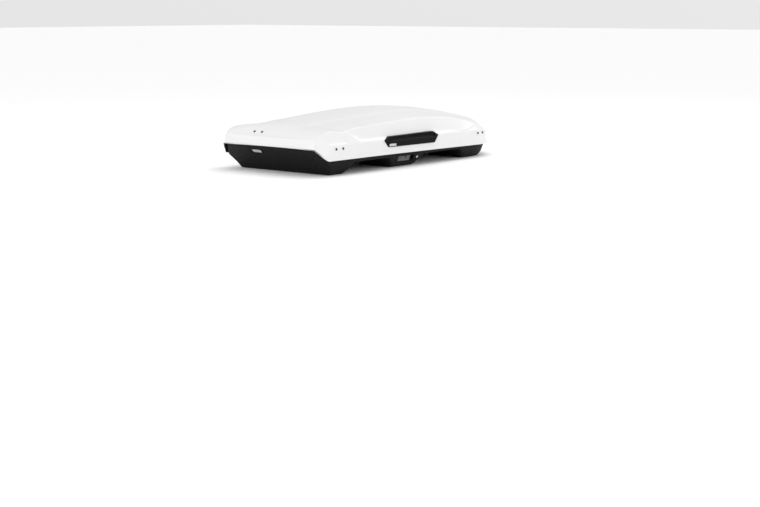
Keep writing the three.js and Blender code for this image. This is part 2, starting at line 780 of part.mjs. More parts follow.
// A curved rib under the lid that keeps the crown from sagging under snow.
function lidStiffener(x) {
  const under = (y, drop) =>
    Math.min(lidZ(x - 16, y), lidZ(x, y), lidZ(x + 16, y)) - LID_WALL - drop;
  const ys = [-230, -180, -120, -60, 0, 60, 120, 180, 230];
  const top = ys.map((y) => [y, under(y, 5)]);
  const bottom = [...ys].reverse().map((y) => [y, under(y, 15)]);
  return prismX([...top, ...bottom], x - 15, x + 15);
}

// A plain plate on the tray's rear face, below the lid's rear edge.
function rearBadge() {
  const plate = box(-0.6, 0.6, -37, 37, -12, 12);
  const geometry = geometryOf(plate);
  const slope = (REAR_FACE[0][1] - REAR_FACE[1][1]) / (REAR_FACE[0][0] - REAR_FACE[1][0]);
  const tilt = Math.PI / 2 + Math.atan(slope);
  geometry.rotateY(-tilt);
  const out = new THREE.Vector3(slope, 0, -1).normalize();
  const z = 134;
  const onFace = new THREE.Vector3(along(REAR_FACE.map(([a, b]) => [-b, a]), -z), 133, z);
  const at = onFace.addScaledVector(out, 1.2);
  return geometry.translate(at.x, at.y, at.z);
}

// ---------------------------------------------------------------- the whole box

const places = rivetPlaces();
const rivetHoles = places.map((place) => {
  const geometry = geometryOf(join(rivetShape(3.6, 8, -20, 12)));
  return solid(geometry.applyMatrix4(rivetMatrix(place)));
});

addPart("base_tray", tray(), TRAY_BLACK);
addPart("lid_shell", rivetHoles.reduce((lid, hole) => lid.subtract(hole), lidShell()), GLOSS_WHITE);

for (const end of ["rear", "front"]) {
  addPart(`${end}_swing_arm`, swingArm(STUD_X[end]), STEEL);
  addPart(`${end}_arm_bracket`, armBracket(STUD_X[end]), STEEL);
  addPart(`${end}_lift_spring`, liftSpring(STUD_X[end]), STEEL);
}

for (const [sideName, side] of [
  ["left", 1],
  ["right", -1],
]) {
  for (const [end, x] of Object.entries(STUD_X)) {
    const carriesArm = side < 0 && end !== "middle";
    addPart(`${sideName}_${end}_lid_stud`, lidStud(side, x, carriesArm), STEEL);
  }
  addPart(`${sideName}_latch_bar`, latchBar(side), STEEL);
  addPart(`${sideName}_lock_housing`, lockHousing(side), TRIM_BLACK);
  addPart(`${sideName}_slide_lever`, slideLever(side), LEVER_GREY);
  addPart(`${sideName}_key_cylinder`, keyCylinder(side), STEEL);
  addPart(`${sideName}_handle`, handle(side), TRIM_BLACK);
  addPart(`${sideName}_handle_badge`, handleBadge(side), BADGE_GREY);
  addClamp(`${sideName}_rear`, REAR_BAR_X, side * CLAMP_Y);
  addClamp(`${sideName}_front`, FRONT_BAR_X, side * CLAMP_Y);
}

addPart("rear_badge", rearBadge(), BADGE_GREY);
addPart("rear_lid_stiffener", lidStiffener(-300), ALUMINIUM);
addPart("front_lid_stiffener", lidStiffener(300), ALUMINIUM);

for (const place of places) {
  const rivets = addPart(`${place.name}_rivets`, rivetPair(), TRIM_BLACK);
  rivets.applyMatrix4(rivetMatrix(place));
}

export default model;
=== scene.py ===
"""Looks for a roof cargo box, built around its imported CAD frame.

Sizes are millimetres in the CAD's frame: +X to the nose, +Y to the left, +Z up. They become
metres where a mesh is made. The lid, tray, grips and knobs are rebuilt here as fine surfaces,
the small parts are the CAD's own with softened edges, and rivet caps, lever ribs, key collars
and badge bars are added as pieces of their own.
"""

import math

import bmesh
import bpy
import numpy as np
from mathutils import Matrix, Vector


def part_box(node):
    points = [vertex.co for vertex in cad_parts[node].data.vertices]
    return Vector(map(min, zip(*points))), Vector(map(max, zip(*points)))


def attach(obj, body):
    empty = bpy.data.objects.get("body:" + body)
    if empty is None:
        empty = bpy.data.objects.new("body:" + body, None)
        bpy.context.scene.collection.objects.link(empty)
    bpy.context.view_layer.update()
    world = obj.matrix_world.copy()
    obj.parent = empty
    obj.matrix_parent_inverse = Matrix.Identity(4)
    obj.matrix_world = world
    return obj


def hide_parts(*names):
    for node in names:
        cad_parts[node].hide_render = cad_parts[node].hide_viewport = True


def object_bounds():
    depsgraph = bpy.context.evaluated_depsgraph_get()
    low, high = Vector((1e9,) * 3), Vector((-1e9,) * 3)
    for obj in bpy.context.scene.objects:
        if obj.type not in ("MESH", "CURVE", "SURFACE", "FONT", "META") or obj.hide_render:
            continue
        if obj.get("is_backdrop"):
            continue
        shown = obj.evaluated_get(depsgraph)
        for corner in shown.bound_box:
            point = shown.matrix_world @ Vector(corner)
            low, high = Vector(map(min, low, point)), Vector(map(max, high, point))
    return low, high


MM = 0.001
MERGE_GAP = 0.002  # points nearer than this become one
SIDES = {"left": 1, "right": -1}
ENDS = ("rear", "front")
SQUARE = ((-1, -1), (1, -1), (1, 1), (-1, 1))

# ------------------------ dimensions: plan

NOSE_X = 1050
HALF_WIDTH = 455
REAR_CORNER_X, REAR_CORNER_Y, REAR_CUT_X = -1041, 395, -967
REAR_CUT_BEND = 14.0
NOSE_CORNER_X, NOSE_CORNER_Y = 820, 410
NOSE_POWER = 2.2
TAPER_START, TAPER_POWER = 500, 4
STRAIGHT_FROM, STRAIGHT_TO = -890, 600  # rows between these run square across

# ------------------------ dimensions: lid

LID_WALL = 4
WALL_DRAFT = 8.4
EDGE_ROUND = 5  # how far the rounding at the wall's top reaches each way
HEM = 1.2
WALL_TOP_Z, REAR_WALL_TOP_Z = 196, 236
NOSE_WALL_DROP, NOSE_WALL_RUN = 19, (600, 900)

SKIRT_Z, REAR_SKIRT_Z = 99, 176
SKIRT_BOW = 3.6e-6  # times the square of the distance from the rear cut
SKIRT_NOSE_DROP, SKIRT_NOSE_RUN = 6, (760, 900)
SKIRT_STEP_SLOPE = 1.05
SKIRT_UPPER_BEND, SKIRT_LOWER_BEND = 8.0, 12.0

CROWN_Z = 372
REAR_FALL, REAR_FALL_POWER = 72, 1.55
NOSE_FALL, NOSE_FALL_POWER = 130.6, 1.87
CROWN_SAG = 0.0004  # times the square of the distance from the middle
PANEL_HALF, PANEL_REAR_HALF = 250, 172
PANEL_TAPER = (-100, -983)  # from here to here it narrows towards the rear
PANEL_STEP, OUTER_SHARE, DIP_SHARE = 5, 0.35, 0.25
OUTER_STEP, DIP, INNER_STEP = (-3, 3), (16, 26), (27, 36)  # how far in from the panel's edge
PANEL_LEAD = 4  # half the run of the bend at the panel's edge
SHOULDER_CROWN = 4  # how far the shoulders bulge

BAND_WIDTH = 42
SIDE_SLOPE, NOSE_SLOPE = 1.85, 0.82
SLOPE_CHANGE = (200, 760)
NOSE_SIDE_BEND, ARCH_BEND, REAR_BEND = 40.0, 5.0, 14.0
REAR_LEDGE, REAR_LEDGE_SLOPE, REAR_SLOPE = 12, 0.2, 0.62
REAR_BULGE, REAR_BULGE_RUN = 8, (12, 60)
# The arched line along the top of each side panel, as x and z.
ARCH = [
    (-1050, 245),
    (-888, 283),
    (-776, 270),
    (-680, 284),
    (-510, 294),
    (-342, 302),
    (-160, 309),
    (17, 312),
    (130, 310),
    (231, 306),
    (320, 300),
    (397, 292),
    (480, 281),
    (568, 265),
    (672, 240),
    (820, 202),
]

UP_SHARE = 2.1  # distance up a side panel for each millimetre in
WINDOW_DEPTH = 17  # how far the long side panel is let in, measured upright
WINDOW_REAR = [(-644, 8), (-764, 84)]  # its slanting ends: x, and how far up from the wall
WINDOW_FRONT = [(545, 8), (660, 62)]
WINDOW_CHAMFER = 42
WINDOW_END_BEND, WINDOW_SILL_BEND = 0.3, 0.2
CORNER_DEPTH = 12  # how far the six-sided face at each rear corner is let in
CORNER_FACE = [(-1026, 19), (-1002, 2), (-748, 2), (-778, 78), (-893, 90)]
CORNER_CHAMFER = 22

# The room that the grid's columns keep between the lid's long creases.
PANEL_ROOM, SHOULDER_ROOM, SIDE_ROOM = 60, 12, 20
SILL_UP_SHARE, SILL_SHARE = 1.9, 0.4
ARCH_BEFORE, ARCH_AFTER, SILL_LEAD = 7, 5, 3  # how close to a crease a column runs

# ------------------------ dimensions: tray

TRAY_WALL = 4
TRAY_INSET, TRAY_NOSE_INSET = 17, 25
LIP_HEIGHT, LIP_FOOT = 16, 3
CHANNEL_Z = 72
REAR_FACE = [(-1036, 171), (-905, 34), (-888, 0)]
SIDE_FACE = [(0, 1), (28, 0.34), (60, 0)]  # distance in, and share of SKIRT_Z
BULGE_SHARE, BULGE_IN, BULGE_RUN = 0.62, 8, 70  # the sides' bulge low down
NOSE_SHARE = 0.8  # the nose slopes in more gently than the sides
# The bellies and crossbar channels, as x and z along the box.
CHANNELS = [
    (-760, 0),
    (-670, CHANNEL_Z),
    (-330, CHANNEL_Z),
    (-255, 0),
    (-41, 0),
    (60, CHANNEL_Z),
    (460, CHANNEL_Z),
    (560, 0),
    (748, 0),
    (1010, 80),
]
TRAY_NOSE_BEND, BULGE_BEND, REAR_FACE_BEND, BELLY_BEND = 30.0, 8.0, 14.0, 16.0
BLEND_LIFT, BLEND_FROM = 5.94, 45  # what the soft bends add low down, taken off again
BEAD_Y = (-140, -70, 0, 70, 140)
BEAD_HEIGHT, BEAD_SIDES = 3, (13, 5)  # half widths at its foot and top
BEAD_REAR_END, BEAD_FRONT_END = (-855, -840), (705, 690)
BADGE_PAD_X, BADGE_PAD_Y = (-1030, -984), (70, 196)
BADGE_PAD_HEIGHT, BADGE_PAD_EDGE = 3.5, 5

STUD_X = {"rear": -838, "middle": -118, "front": 600}
CROSSBAR_X = {"rear": -490, "front": 260}
CLAMP_Y = 250
NOTCH_HALF, NOTCH_Y, NOTCH_Z = 13, (425, 445), (100, 140)  # round the lid's studs
LOCK_X, LOCK_Y, LOCK_Z = (-235, -8), (395, 447), (32, 78)  # the lock's opening
SLOT_HALF_LENGTH, SLOT_HALF_WIDTH, SLOT_Z = 138, 13, (55, 95)  # the clamps' slots

# ------------------------ dimensions: grips

GRIP_OUT_Y = 459
GRIP_BOTTOM = [(-370, 146), (126, 143)]
GRIP_TOP = [(-355, 216), (108, 221)]
GRIP_POINTS = [(-409, 194), (174, 193)]
POINT_SHARE = 0.67  # how far up the grip its two end points lie
GRIP_CHAMFER, GRIP_CHAMFER_SPREAD = 3.0, 3.5
# The finger groove, whose ends lean by these shares of the height above its middle.
GROOVE_X, GROOVE_Z, GROOVE_MIDDLE_Z = (-372, 128), (184, 211), 200
GROOVE_LEAN = (0.8, 0.5)
GROOVE_DEPTH, GROOVE_RUN, GROOVE_LOWER_SHARE, GROOVE_END_SHARE = 9, 7, 0.7, 0.6
PLATE_TOP_Z, PLATE_MARGIN, PLATE_DEPTH, PLATE_RUN = 183, 6, 1.6, 2.5  # recess below it
END_FALL, END_LEAN, END_MIDDLE_Z = 3.0, 0.4, 180  # how its face falls off at both ends
REAR_END_RUN, FRONT_END_RUN = (-340, -390), (128, 170)
EDGE_SINK, BACK_SINK = 0.5, 2.0  # how far its edge and its back lie inside the lid's side

# ------------------------ dimensions: small pieces

KNOB_SPOKES, KNOB_LOBES, LOBE_DEPTH = 96, 6, 2.6
LOBE_START, LOBE_RUN = 17.5, 6.0  # the radii over which the lobes grow
KNOB_PROFILE = [
    (5.0, 103),
    (5.0, 112.9),
    (24.5, 112.9),
    (25.6, 113.6),
    (26.0, 115),
    (26.0, 130),
    (25.4, 132.4),
    (24.0, 134.3),
    (21.5, 135.6),
    (19.0, 135.9),
    (17.6, 135.4),
    (16.8, 134.2),
    (6.0, 133.2),
    (5.4, 134.6),
    (3.6, 135.6),
    (0.6, 135.9),
]

DOME_SPOKES = 40
DOME_PROFILE = [
    (7.9, -0.6),
    (8.0, 0.5),
    (7.6, 1.0),
    (6.6, 1.6),
    (4.8, 2.2),
    (2.6, 2.6),
    (0.5, 2.7),
]
HEAD_SKIN = 0.4  # points within this of a rivet pair's highest are on its heads

COLLAR_SPOKES = 48
COLLAR_PROFILE = [
    (6.6, -3.0),
    (9.4, -3.0),
    (9.6, 0.6),
    (9.3, 1.4),
    (8.6, 1.8),
    (7.4, 1.8),
    (6.9, 1.5),
    (6.7, 0.9),
]
KEY_X, KEY_Z, COLLAR_PROUD = -23, 55, 0.6

LEVER_X, LEVER_LENGTH, LEVER_WING = -227, 125, 44
RIB_Z, RIB_MARGIN = (43, 68), 7
RIB_COUNT, RIB_PITCH, RIB_WIDTH, RIB_DRAFT = 6, 5.6, 2.2, 0.35
RIB_ROOT, RIB_TOP, RIB_BEVEL = -2.9, -0.4, 0.3  # out from the tray's side

BAR_COUNT, BAR_PITCH, BAR_WIDTH, BAR_SLANT, BAR_DRAFT = 7, 9.0, 4.6, 0.25, 0.3
BAR_ROOT, BAR_TOP = -0.3, 0.7
GRIP_BAR_HALF = 5.0
REAR_BAR_HALF, REAR_BAR_STRETCH, REAR_BADGE_LIFT = 7.5, 1.05, 0.6

# ------------------------ floor, light and camera, in metres

FLOOR_REACH, FLOOR_DROP = 60, 0.0005
NEAR_SIDE = (-0.55, -0.75, 0.1)
ROOM = (0.79, 1.16)  # strength on the far side and on the near side
AIM = (0, 0, 0.2)
LIGHTS = {  # place, width, height and watts
    "side_panel": ((2.5, -6.2, 1.9), 5, 1.6, 52),
    "rear_panel": ((-6.4, 0.3, 1.5), 4, 1.6, 80),
    "top_strip": ((2.6, -0.7, 4.2), 1.4, 6, 56),
}
CAMERA_PLACE = (-7.640, -6.307, 1.043)
CAMERA_YAW, CAMERA_PITCH = 39.19, 9.752
CAMERA_LENS, CAMERA_SENSOR = 67.53, 36

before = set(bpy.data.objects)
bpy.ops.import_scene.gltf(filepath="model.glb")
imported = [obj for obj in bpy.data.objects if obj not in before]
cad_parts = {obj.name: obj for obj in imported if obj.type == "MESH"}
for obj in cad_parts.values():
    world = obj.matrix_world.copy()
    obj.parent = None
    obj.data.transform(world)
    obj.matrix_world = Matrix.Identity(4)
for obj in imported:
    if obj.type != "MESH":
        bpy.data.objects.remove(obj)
cad_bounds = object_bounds()

# ------------------------ curves and bends


def ramp(start, end, x):
    return np.clip((x - start) / (end - start), 0, 1)


def smooth(start, end, x):
    t = ramp(start, end, x)
    return t * t * (3 - 2 * t)


def soft_min(a, b, softness):
    """The lesser of two values, with the corner between them rounded off."""
    near = np.maximum(softness - np.abs(a - b), 0) / softness
    return np.minimum(a, b) - near * near * softness / 4


def soft_max(a, b, softness):
    return -soft_min(-a, -b, softness)


def along(points, x):
    xs, ys = zip(*points)
    return np.interp(x, xs, ys)


def eased(points, x):
    """A smooth curve through the points of a line, by cubic pieces."""
    xs, ys = np.array(points, float).T
    slopes = np.gradient(ys, xs)
    x = np.clip(x, xs[0], xs[-1])
    i = np.clip(np.searchsorted(xs, x, side="right") - 1, 0, len(xs) - 2)
    width = xs[i + 1] - xs[i]
    t = (x - xs[i]) / width
    return (
        ys[i] * (1 + 2 * t) * (1 - t) ** 2
        + slopes[i] * width * t * (1 - t) ** 2
        + ys[i + 1] * t * t * (3 - 2 * t)
        + slopes[i + 1] * width * t * t * (t - 1)
    )


def beyond_line(start, end, a, b):
    """How far the points (a, b) lie to the left of a line, seen along it."""
    (a0, b0), (a1, b1) = start, end
    length = math.hypot(a1 - a0, b1 - b0)
    return ((a1 - a0) * (b - b0) - (b1 - b0) * (a - a0)) / length


def within_outline(corners, a, b):
    """How far the points (a, b) lie inside an outline whose corners run anticlockwise."""
    gaps = [beyond_line(*pair, a, b) for pair in zip(corners, corners[1:] + corners[:1])]
    return np.minimum.reduce(gaps)


def steps(*spans):
    """Numbers over several spans, each given as (start, end, count)."""
    parts = [np.linspace(a, b, count, endpoint=False) for a, b, count in spans]
    return np.concatenate([*parts, [spans[-1][1]]])


# ------------------------ meshes


def point_numbers(rows):
    return np.arange(rows.shape[0] * rows.shape[1]).reshape(rows.shape[:2])


def grid_quads(grid):
    corners = [grid[:-1, :-1], grid[1:, :-1], grid[1:, 1:], grid[:-1, 1:]]
    return np.stack(corners, -1).reshape(-1, 4)


def border_of(grid):
    """The row and column numbers met going once round a grid's border."""
    last_row, last_column = grid.shape[0] - 1, grid.shape[1] - 1
    down, across = np.arange(last_row), np.arange(last_column)
    rows = [np.zeros_like(across), down, np.full_like(across, last_row), last_row - down]
    columns = [across, np.full_like(down, last_column), last_column - across, np.zeros_like(down)]
    return np.concatenate(rows), np.concatenate(columns)


def strip(loop, following):
    """The quads between two closed loops of as many points."""
    return np.stack([loop, np.roll(loop, -1), np.roll(following, -1), following], -1)


def shifted(faces, first):
    return [[first + corner for corner in face] for face in faces]


def add_mesh(name, points, faces, finish, body, sharp_angle=30.0, lining=None):
    """A piece on a body. A lining is a second finish and how many points come before it."""
    mesh = bpy.data.meshes.new(name)
    mesh.from_pydata((np.asarray(points, float) * MM).tolist(), [], faces)
    mesh.materials.append(finish)
    if lining:
        mesh.materials.append(lining[0])
        for polygon in mesh.polygons:
            polygon.material_index = int(min(polygon.vertices) >= lining[1])
    form = bmesh.new()
    form.from_mesh(mesh)
    bmesh.ops.remove_doubles(form, verts=form.verts, dist=MERGE_GAP * MM)
    bmesh.ops.dissolve_degenerate(form, edges=form.edges, dist=MERGE_GAP * MM)
    form.to_mesh(mesh)
    form.free()
    mesh.validate()
    piece = bpy.data.objects.new(name, mesh)
    bpy.context.scene.collection.objects.link(piece)
    mesh.shade_smooth()
    mesh.set_sharp_from_angle(angle=math.radians(sharp_angle))
    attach(piece, body)
    return piece


def bevel_edges(piece, width):
    bevel = piece.modifiers.new("bevel", "BEVEL")
    bevel.width = width * MM
    bevel.segments = 2
    bevel.limit_method = "ANGLE"
    bevel.angle_limit = math.radians(40)
    return bevel


def sheet_normals(points, faces):
    """Unit normals at the points of a sheet of quads. Points in one place share a normal."""
    _, place = np.unique(np.round(points, 3), axis=0, return_inverse=True)
    place = place.ravel()
    corners = points[faces]
    normal = np.cross(corners[:, 2] - corners[:, 0], corners[:, 3] - corners[:, 1])
    total = np.zeros_like(points)
    for corner in range(4):
        np.add.at(total, place[faces[:, corner]], normal)
    total = total[place]
    return total / np.linalg.norm(total, axis=1, keepdims=True)


def closed_shell(rows, rings, thickness, outward):
    """The points and faces of a shell made of a grid of points and rings round its border.

    The grid is an array (row, column, 3), and each ring is a function of the border's row and
    column numbers that gives points. The value of outward is 1 where the grid's normals point
    out of the solid, and -1 where they point into it.
    """
    grid = point_numbers(rows)
    border_i, border_j = border_of(grid)
    quads = [grid_quads(grid)]
    layers = [rows.reshape(-1, 3)]
    ring = grid[border_i, border_j]
    count = grid.size
    for place in rings:
        layers.append(place(border_i, border_j))
        following = count + np.arange(len(ring))
        quads.append(strip(ring, following))
        count += len(ring)
        ring = following
    points = np.concatenate(layers)
    outer = np.concatenate(quads)
    inner = points - outward * thickness * sheet_normals(points, outer)
    faces = np.concatenate([outer, outer[:, ::-1] + count, strip(ring, ring + count)])
    if outward < 0:
        faces = faces[:, ::-1]
    return np.concatenate([points, inner]), faces.tolist()


def block(rows, back, side):
    """A grid of points as the face of a solid, with a back given by a function."""
    grid = point_numbers(rows)
    i, j = np.indices(grid.shape)
    front = grid_quads(grid)
    border = grid[border_of(grid)]
    rim = strip(border, border + grid.size)
    faces = np.concatenate([front[:, ::-1], front + grid.size, rim])
    if side > 0:
        faces = faces[:, ::-1]
    return np.concatenate([rows.reshape(-1, 3), back(i.ravel(), j.ravel())]), faces.tolist()


def lathe(profile, spokes, radius_at=None, hollow=False):
    """A solid turned about the Z axis from a profile of (radius, height).

    The profile's two ends are capped, or joined to each other where the solid is hollow.
    """
    angles = np.arange(spokes) * 2 * math.pi / spokes
    loops = []
    for radius, height in profile:
        lobes = radius_at(radius, angles) if radius_at else np.full(spokes, float(radius))
        level = np.full(spokes, float(height))
        loops.append(np.stack([lobes * np.cos(angles), lobes * np.sin(angles), level], -1))
    first = np.arange(spokes)
    faces = []
    for ring in range(len(profile) - 1):
        loop = first + ring * spokes
        faces += strip(loop, loop + spokes).tolist()
    last = first + (len(profile) - 1) * spokes
    if hollow:
        faces += strip(last, first).tolist()
    else:
        faces += [first[::-1].tolist(), last.tolist()]
    return np.concatenate(loops), faces


def prism_faces(first, turned):
    """The faces of a block whose points are two loops of four, one above the other."""
    sides = [(0, 1, 5, 4), (1, 2, 6, 5), (2, 3, 7, 6), (3, 0, 4, 7), (3, 2, 1, 0), (4, 5, 6, 7)]
    return shifted([side[::-1] if turned else side for side in sides], first)


def box_mesh(boxes):
    """Separate boxes, each given by its spans in x, y and z."""
    sides = [(0, 1, 3, 2), (4, 6, 7, 5), (0, 4, 5, 1), (2, 3, 7, 6), (0, 2, 6, 4), (1, 5, 7, 3)]
    points, faces = [], []
    for span_x, span_y, span_z in boxes:
        faces += shifted(sides, len(points))
        points += [(x, y, z) for x in span_x for y in sorted(span_y) for z in span_z]
    return points, faces


def settle(piece):
    """Keeps what a piece's modifiers make of it as its mesh."""
    bpy.context.view_layer.update()
    seen = piece.evaluated_get(bpy.context.evaluated_depsgraph_get())
    made = bpy.data.meshes.new_from_object(seen)
    piece.modifiers.clear()
    piece.data = made


def cut(piece, boxes):
    """Cuts boxes out of a piece and keeps the result as its mesh."""
    points, faces = box_mesh(boxes)
    mesh = bpy.data.meshes.new("cutter")
    mesh.from_pydata((np.array(points, float) * MM).tolist(), [], faces)
    cutter = bpy.data.objects.new("cutter", mesh)
    bpy.context.scene.collection.objects.link(cutter)
    modifier = piece.modifiers.new("openings", "BOOLEAN")
    modifier.operation = "DIFFERENCE"
    modifier.solver = "EXACT"
    modifier.object = cutter
    settle(piece)
    bpy.data.objects.remove(cutter)


# ------------------------ finishes


def linear(hex_colour):
    """A colour written as in a paint chart, in the light values that a shader takes."""
    values = [int(hex_colour[k : k + 2], 16) / 255 for k in (0, 2, 4)]
    return tuple(v / 12.92 if v <= 0.04045 else ((v + 0.055) / 1.055) ** 2.4 for v in values)


def map_range(nodes, source, target):
    """A node that moves values from the range source to the range target."""
    node = nodes.new("ShaderNodeMapRange")
    for socket, number in zip(("From Min", "From Max", "To Min", "To Max"), (*source, *target)):
        node.inputs[socket].default_value = number
    return node


class Finish:
    """A material whose colour, roughness and relief are varied by procedural textures."""

    def __init__(self, name, colour, roughness, metallic=0.0):
        self.material = bpy.data.materials.new(name)
        self.material.use_nodes = True
        self.nodes = self.material.node_tree.nodes
        self.links = self.material.node_tree.links
        self.shader = self.nodes["Principled BSDF"]
        self.colour = linear(colour)
        self.shader.inputs["Base Color"].default_value = (*self.colour, 1)
        self.shader.inputs["Roughness"].default_value = roughness
        self.shader.inputs["Metallic"].default_value = metallic
        self.shader.inputs["IOR"].default_value = 1.5
        self.place = self.nodes.new("ShaderNodeTexCoord").outputs["Object"]
        self.relief = None

    def noise(self, scale, detail=2.0, stretch=(1, 1, 1)):
        """Noise with about this many blots to the metre."""
        spread = self.nodes.new("ShaderNodeMapping")
        spread.inputs["Scale"].default_value = stretch
        self.links.new(self.place, spread.inputs["Vector"])
        noise = self.nodes.new("ShaderNodeTexNoise")
        noise.inputs["Scale"].default_value = scale
        noise.inputs["Detail"].default_value = detail
        self.links.new(spread.outputs["Vector"], noise.inputs["Vector"])
        return noise.outputs["Fac"]

    def cells(self, scale):
        """Small rounded cells, like a leather or spark-eroded grain."""
        cells = self.nodes.new("ShaderNodeTexVoronoi")
        cells.inputs["Scale"].default_value = scale
        self.links.new(self.place, cells.inputs["Vector"])
        return cells.outputs["Distance"]

    def spread(self, texture, low, high):
        """A texture's middle values, spread over the range low..high."""
        node = map_range(self.nodes, (0.3, 0.7), (low, high))
        self.links.new(texture, node.inputs["Value"])
        return node.outputs["Result"]

    def mottle(self, texture, other):
        """The colour drifts towards another with a texture."""
        mix = self.nodes.new("ShaderNodeMix")
        mix.data_type = "RGBA"
        mix.inputs["A"].default_value = (*self.colour, 1)
        mix.inputs["B"].default_value = (*linear(other), 1)
        self.links.new(self.spread(texture, 0, 1), mix.inputs["Factor"])
        self.links.new(mix.outputs["Result"], self.shader.inputs["Base Color"])

    def vary_roughness(self, texture, low, high):
        self.links.new(self.spread(texture, low, high), self.shader.inputs["Roughness"])

    def raise_by(self, texture, depth, strength=1.0):
        """Relief of this depth in millimetres."""
        bump = self.nodes.new("ShaderNodeBump")
        bump.inputs["Distance"].default_value = depth * MM
        bump.inputs["Strength"].default_value = strength
        self.links.new(texture, bump.inputs["Height"])
        if self.relief:
            self.links.new(self.relief, bump.inputs["Normal"])
        self.relief = bump.outputs["Normal"]
        self.links.new(self.relief, self.shader.inputs["Normal"])

    def coat(self, weight, roughness):
        self.shader.inputs["Coat Weight"].default_value = weight
        self.shader.inputs["Coat Roughness"].default_value = roughness

    def dull(self, level):
        """A weaker reflection than the level of 0.5 that a shader starts with."""
        self.shader.inputs["Specular IOR Level"].default_value = level


def gloss_white():
    """Vacuum-formed white sheet with a gloss cap layer: a trace of waviness and fine dust."""
    finish = Finish("gloss_white_sheet", "dadada", 0.34)
    finish.mottle(finish.noise(3.0, 4.0), "d7d7d7")
    finish.vary_roughness(finish.noise(9.0, 5.0), 0.3, 0.38)
    finish.raise_by(finish.noise(16.0, 1.0), 0.04, 0.5)
    finish.raise_by(finish.noise(900.0, 2.0), 0.003, 0.5)
    finish.coat(0.35, 0.12)
    return finish.material


def lid_back_and_painted_shade():
    """The back of the lid's sheet, with a fine pressed grain. Its dark colour is partly the
    sheet's own and partly painted shade, standing in for the deep shade inside the lid's skirt.
    """
    finish = Finish("dark_lid_back_and_painted_shade", "1a1a1c", 0.58)
    finish.dull(0.2)
    finish.mottle(finish.noise(30.0, 6.0), "242426")
    finish.vary_roughness(finish.noise(50.0, 5.0), 0.52, 0.68)
    finish.raise_by(finish.cells(420.0), 0.2, 0.9)
    return finish.material


def tray_black_and_painted_shade():
    """Black sheet with a fine grain pressed into it, greyer where it is scuffed. Its near-black
    colour is partly the sheet's own black and partly painted shade: it is darker than the sheet,
    to stand in for the shade under the box.
    """
    finish = Finish("grained_black_sheet_and_painted_shade", "070708", 0.55)
    finish.dull(0.14)
    finish.mottle(finish.noise(38.0, 7.0), "0f0f11")
    finish.vary_roughness(finish.noise(60.0, 5.0), 0.5, 0.62)
    finish.raise_by(finish.cells(420.0), 0.22, 0.9)
    finish.raise_by(finish.noise(1500.0, 3.0), 0.05, 0.6)
    return finish.material


def trim_black():
    """Moulded black trim with a satin face."""
    finish = Finish("satin_black_trim", "050506", 0.34)
    finish.dull(0.07)
    finish.mottle(finish.noise(40.0, 5.0), "09090a")
    finish.vary_roughness(finish.noise(60.0, 4.0), 0.32, 0.46)
    finish.raise_by(finish.noise(1300.0, 3.0), 0.04, 0.6)
    return finish.material


def clamp_black():
    """Glass-filled nylon, with flow marks."""
    finish = Finish("filled_nylon_black", "18181a", 0.55)
    finish.mottle(finish.noise(22.0, 6.0, (1, 4, 1)), "262628")
    finish.vary_roughness(finish.noise(70.0, 6.0), 0.46, 0.66)
    finish.raise_by(finish.noise(800.0, 4.0), 0.08, 0.7)
    return finish.material


def lever_grey():
    """Grey moulded levers and knobs with a soft-touch grain."""
    finish = Finish("soft_touch_grey", "5c5d61", 0.5)
    finish.mottle(finish.noise(50.0, 5.0), "505155")
    finish.vary_roughness(finish.noise(90.0, 4.0), 0.42, 0.58)
    finish.raise_by(finish.cells(900.0), 0.05, 0.7)
    return finish.material


def zinc_steel():
    """Bright zinc plate with its cloudy spangle."""
    finish = Finish("zinc_plated_steel", "b4b7ba", 0.34, 1.0)
    finish.mottle(finish.noise(90.0, 6.0), "9a9fa4")
    finish.vary_roughness(finish.noise(160.0, 5.0), 0.26, 0.44)
    finish.raise_by(finish.noise(600.0, 3.0), 0.03, 0.5)
    return finish.material


def spring_steel():
    """Dark oil-tempered wire with draw lines."""
    finish = Finish("oil_tempered_wire", "56575a", 0.36, 1.0)
    finish.mottle(finish.noise(200.0, 5.0), "3c3d40")
    finish.vary_roughness(finish.noise(300.0, 4.0), 0.28, 0.46)
    finish.raise_by(finish.noise(900.0, 2.0, (1, 6, 6)), 0.03, 0.5)
    return finish.material


def jaw_steel():
    """Black-phosphated plate, rubbed brighter in patches."""
    finish = Finish("phosphated_steel", "3a3b3d", 0.5, 0.8)
    finish.mottle(finish.noise(60.0, 7.0), "56585b")
    finish.vary_roughness(finish.noise(120.0, 5.0), 0.4, 0.62)
    finish.raise_by(finish.noise(700.0, 4.0), 0.05, 0.6)
    return finish.material


def key_metal():
    """Satin nickel, turned across the barrel's face."""
    finish = Finish("satin_nickel", "e6e4e0", 0.4, 1.0)
    finish.mottle(finish.noise(240.0, 4.0), "d2cfca")
    finish.vary_roughness(finish.noise(400.0, 3.0), 0.34, 0.48)
    finish.raise_by(finish.noise(1400.0, 2.0, (1, 1, 6)), 0.02, 0.5)
    return finish.material


def aluminium():
    """Extruded aluminium with drawing lines across the box."""
    finish = Finish("mill_aluminium", "c3c5c8", 0.34, 1.0)
    finish.mottle(finish.noise(30.0, 5.0, (14, 1, 14)), "aeb1b5")
    finish.vary_roughness(finish.noise(40.0, 4.0, (20, 1, 20)), 0.28, 0.42)
    finish.raise_by(finish.noise(120.0, 2.0, (12, 1, 12)), 0.02, 0.6)
    return finish.material


def badge_grey():
    """Silver-painted plastic with metal flake."""
    finish = Finish("silver_painted_plastic", "c4c6c8", 0.3, 0.3)
    finish.mottle(finish.noise(1600.0, 2.0), "b0b3b6")
    finish.vary_roughness(finish.noise(500.0, 3.0), 0.24, 0.36)
    finish.raise_by(finish.noise(1200.0, 2.0), 0.01, 0.5)
    finish.coat(0.5, 0.1)
    return finish.material


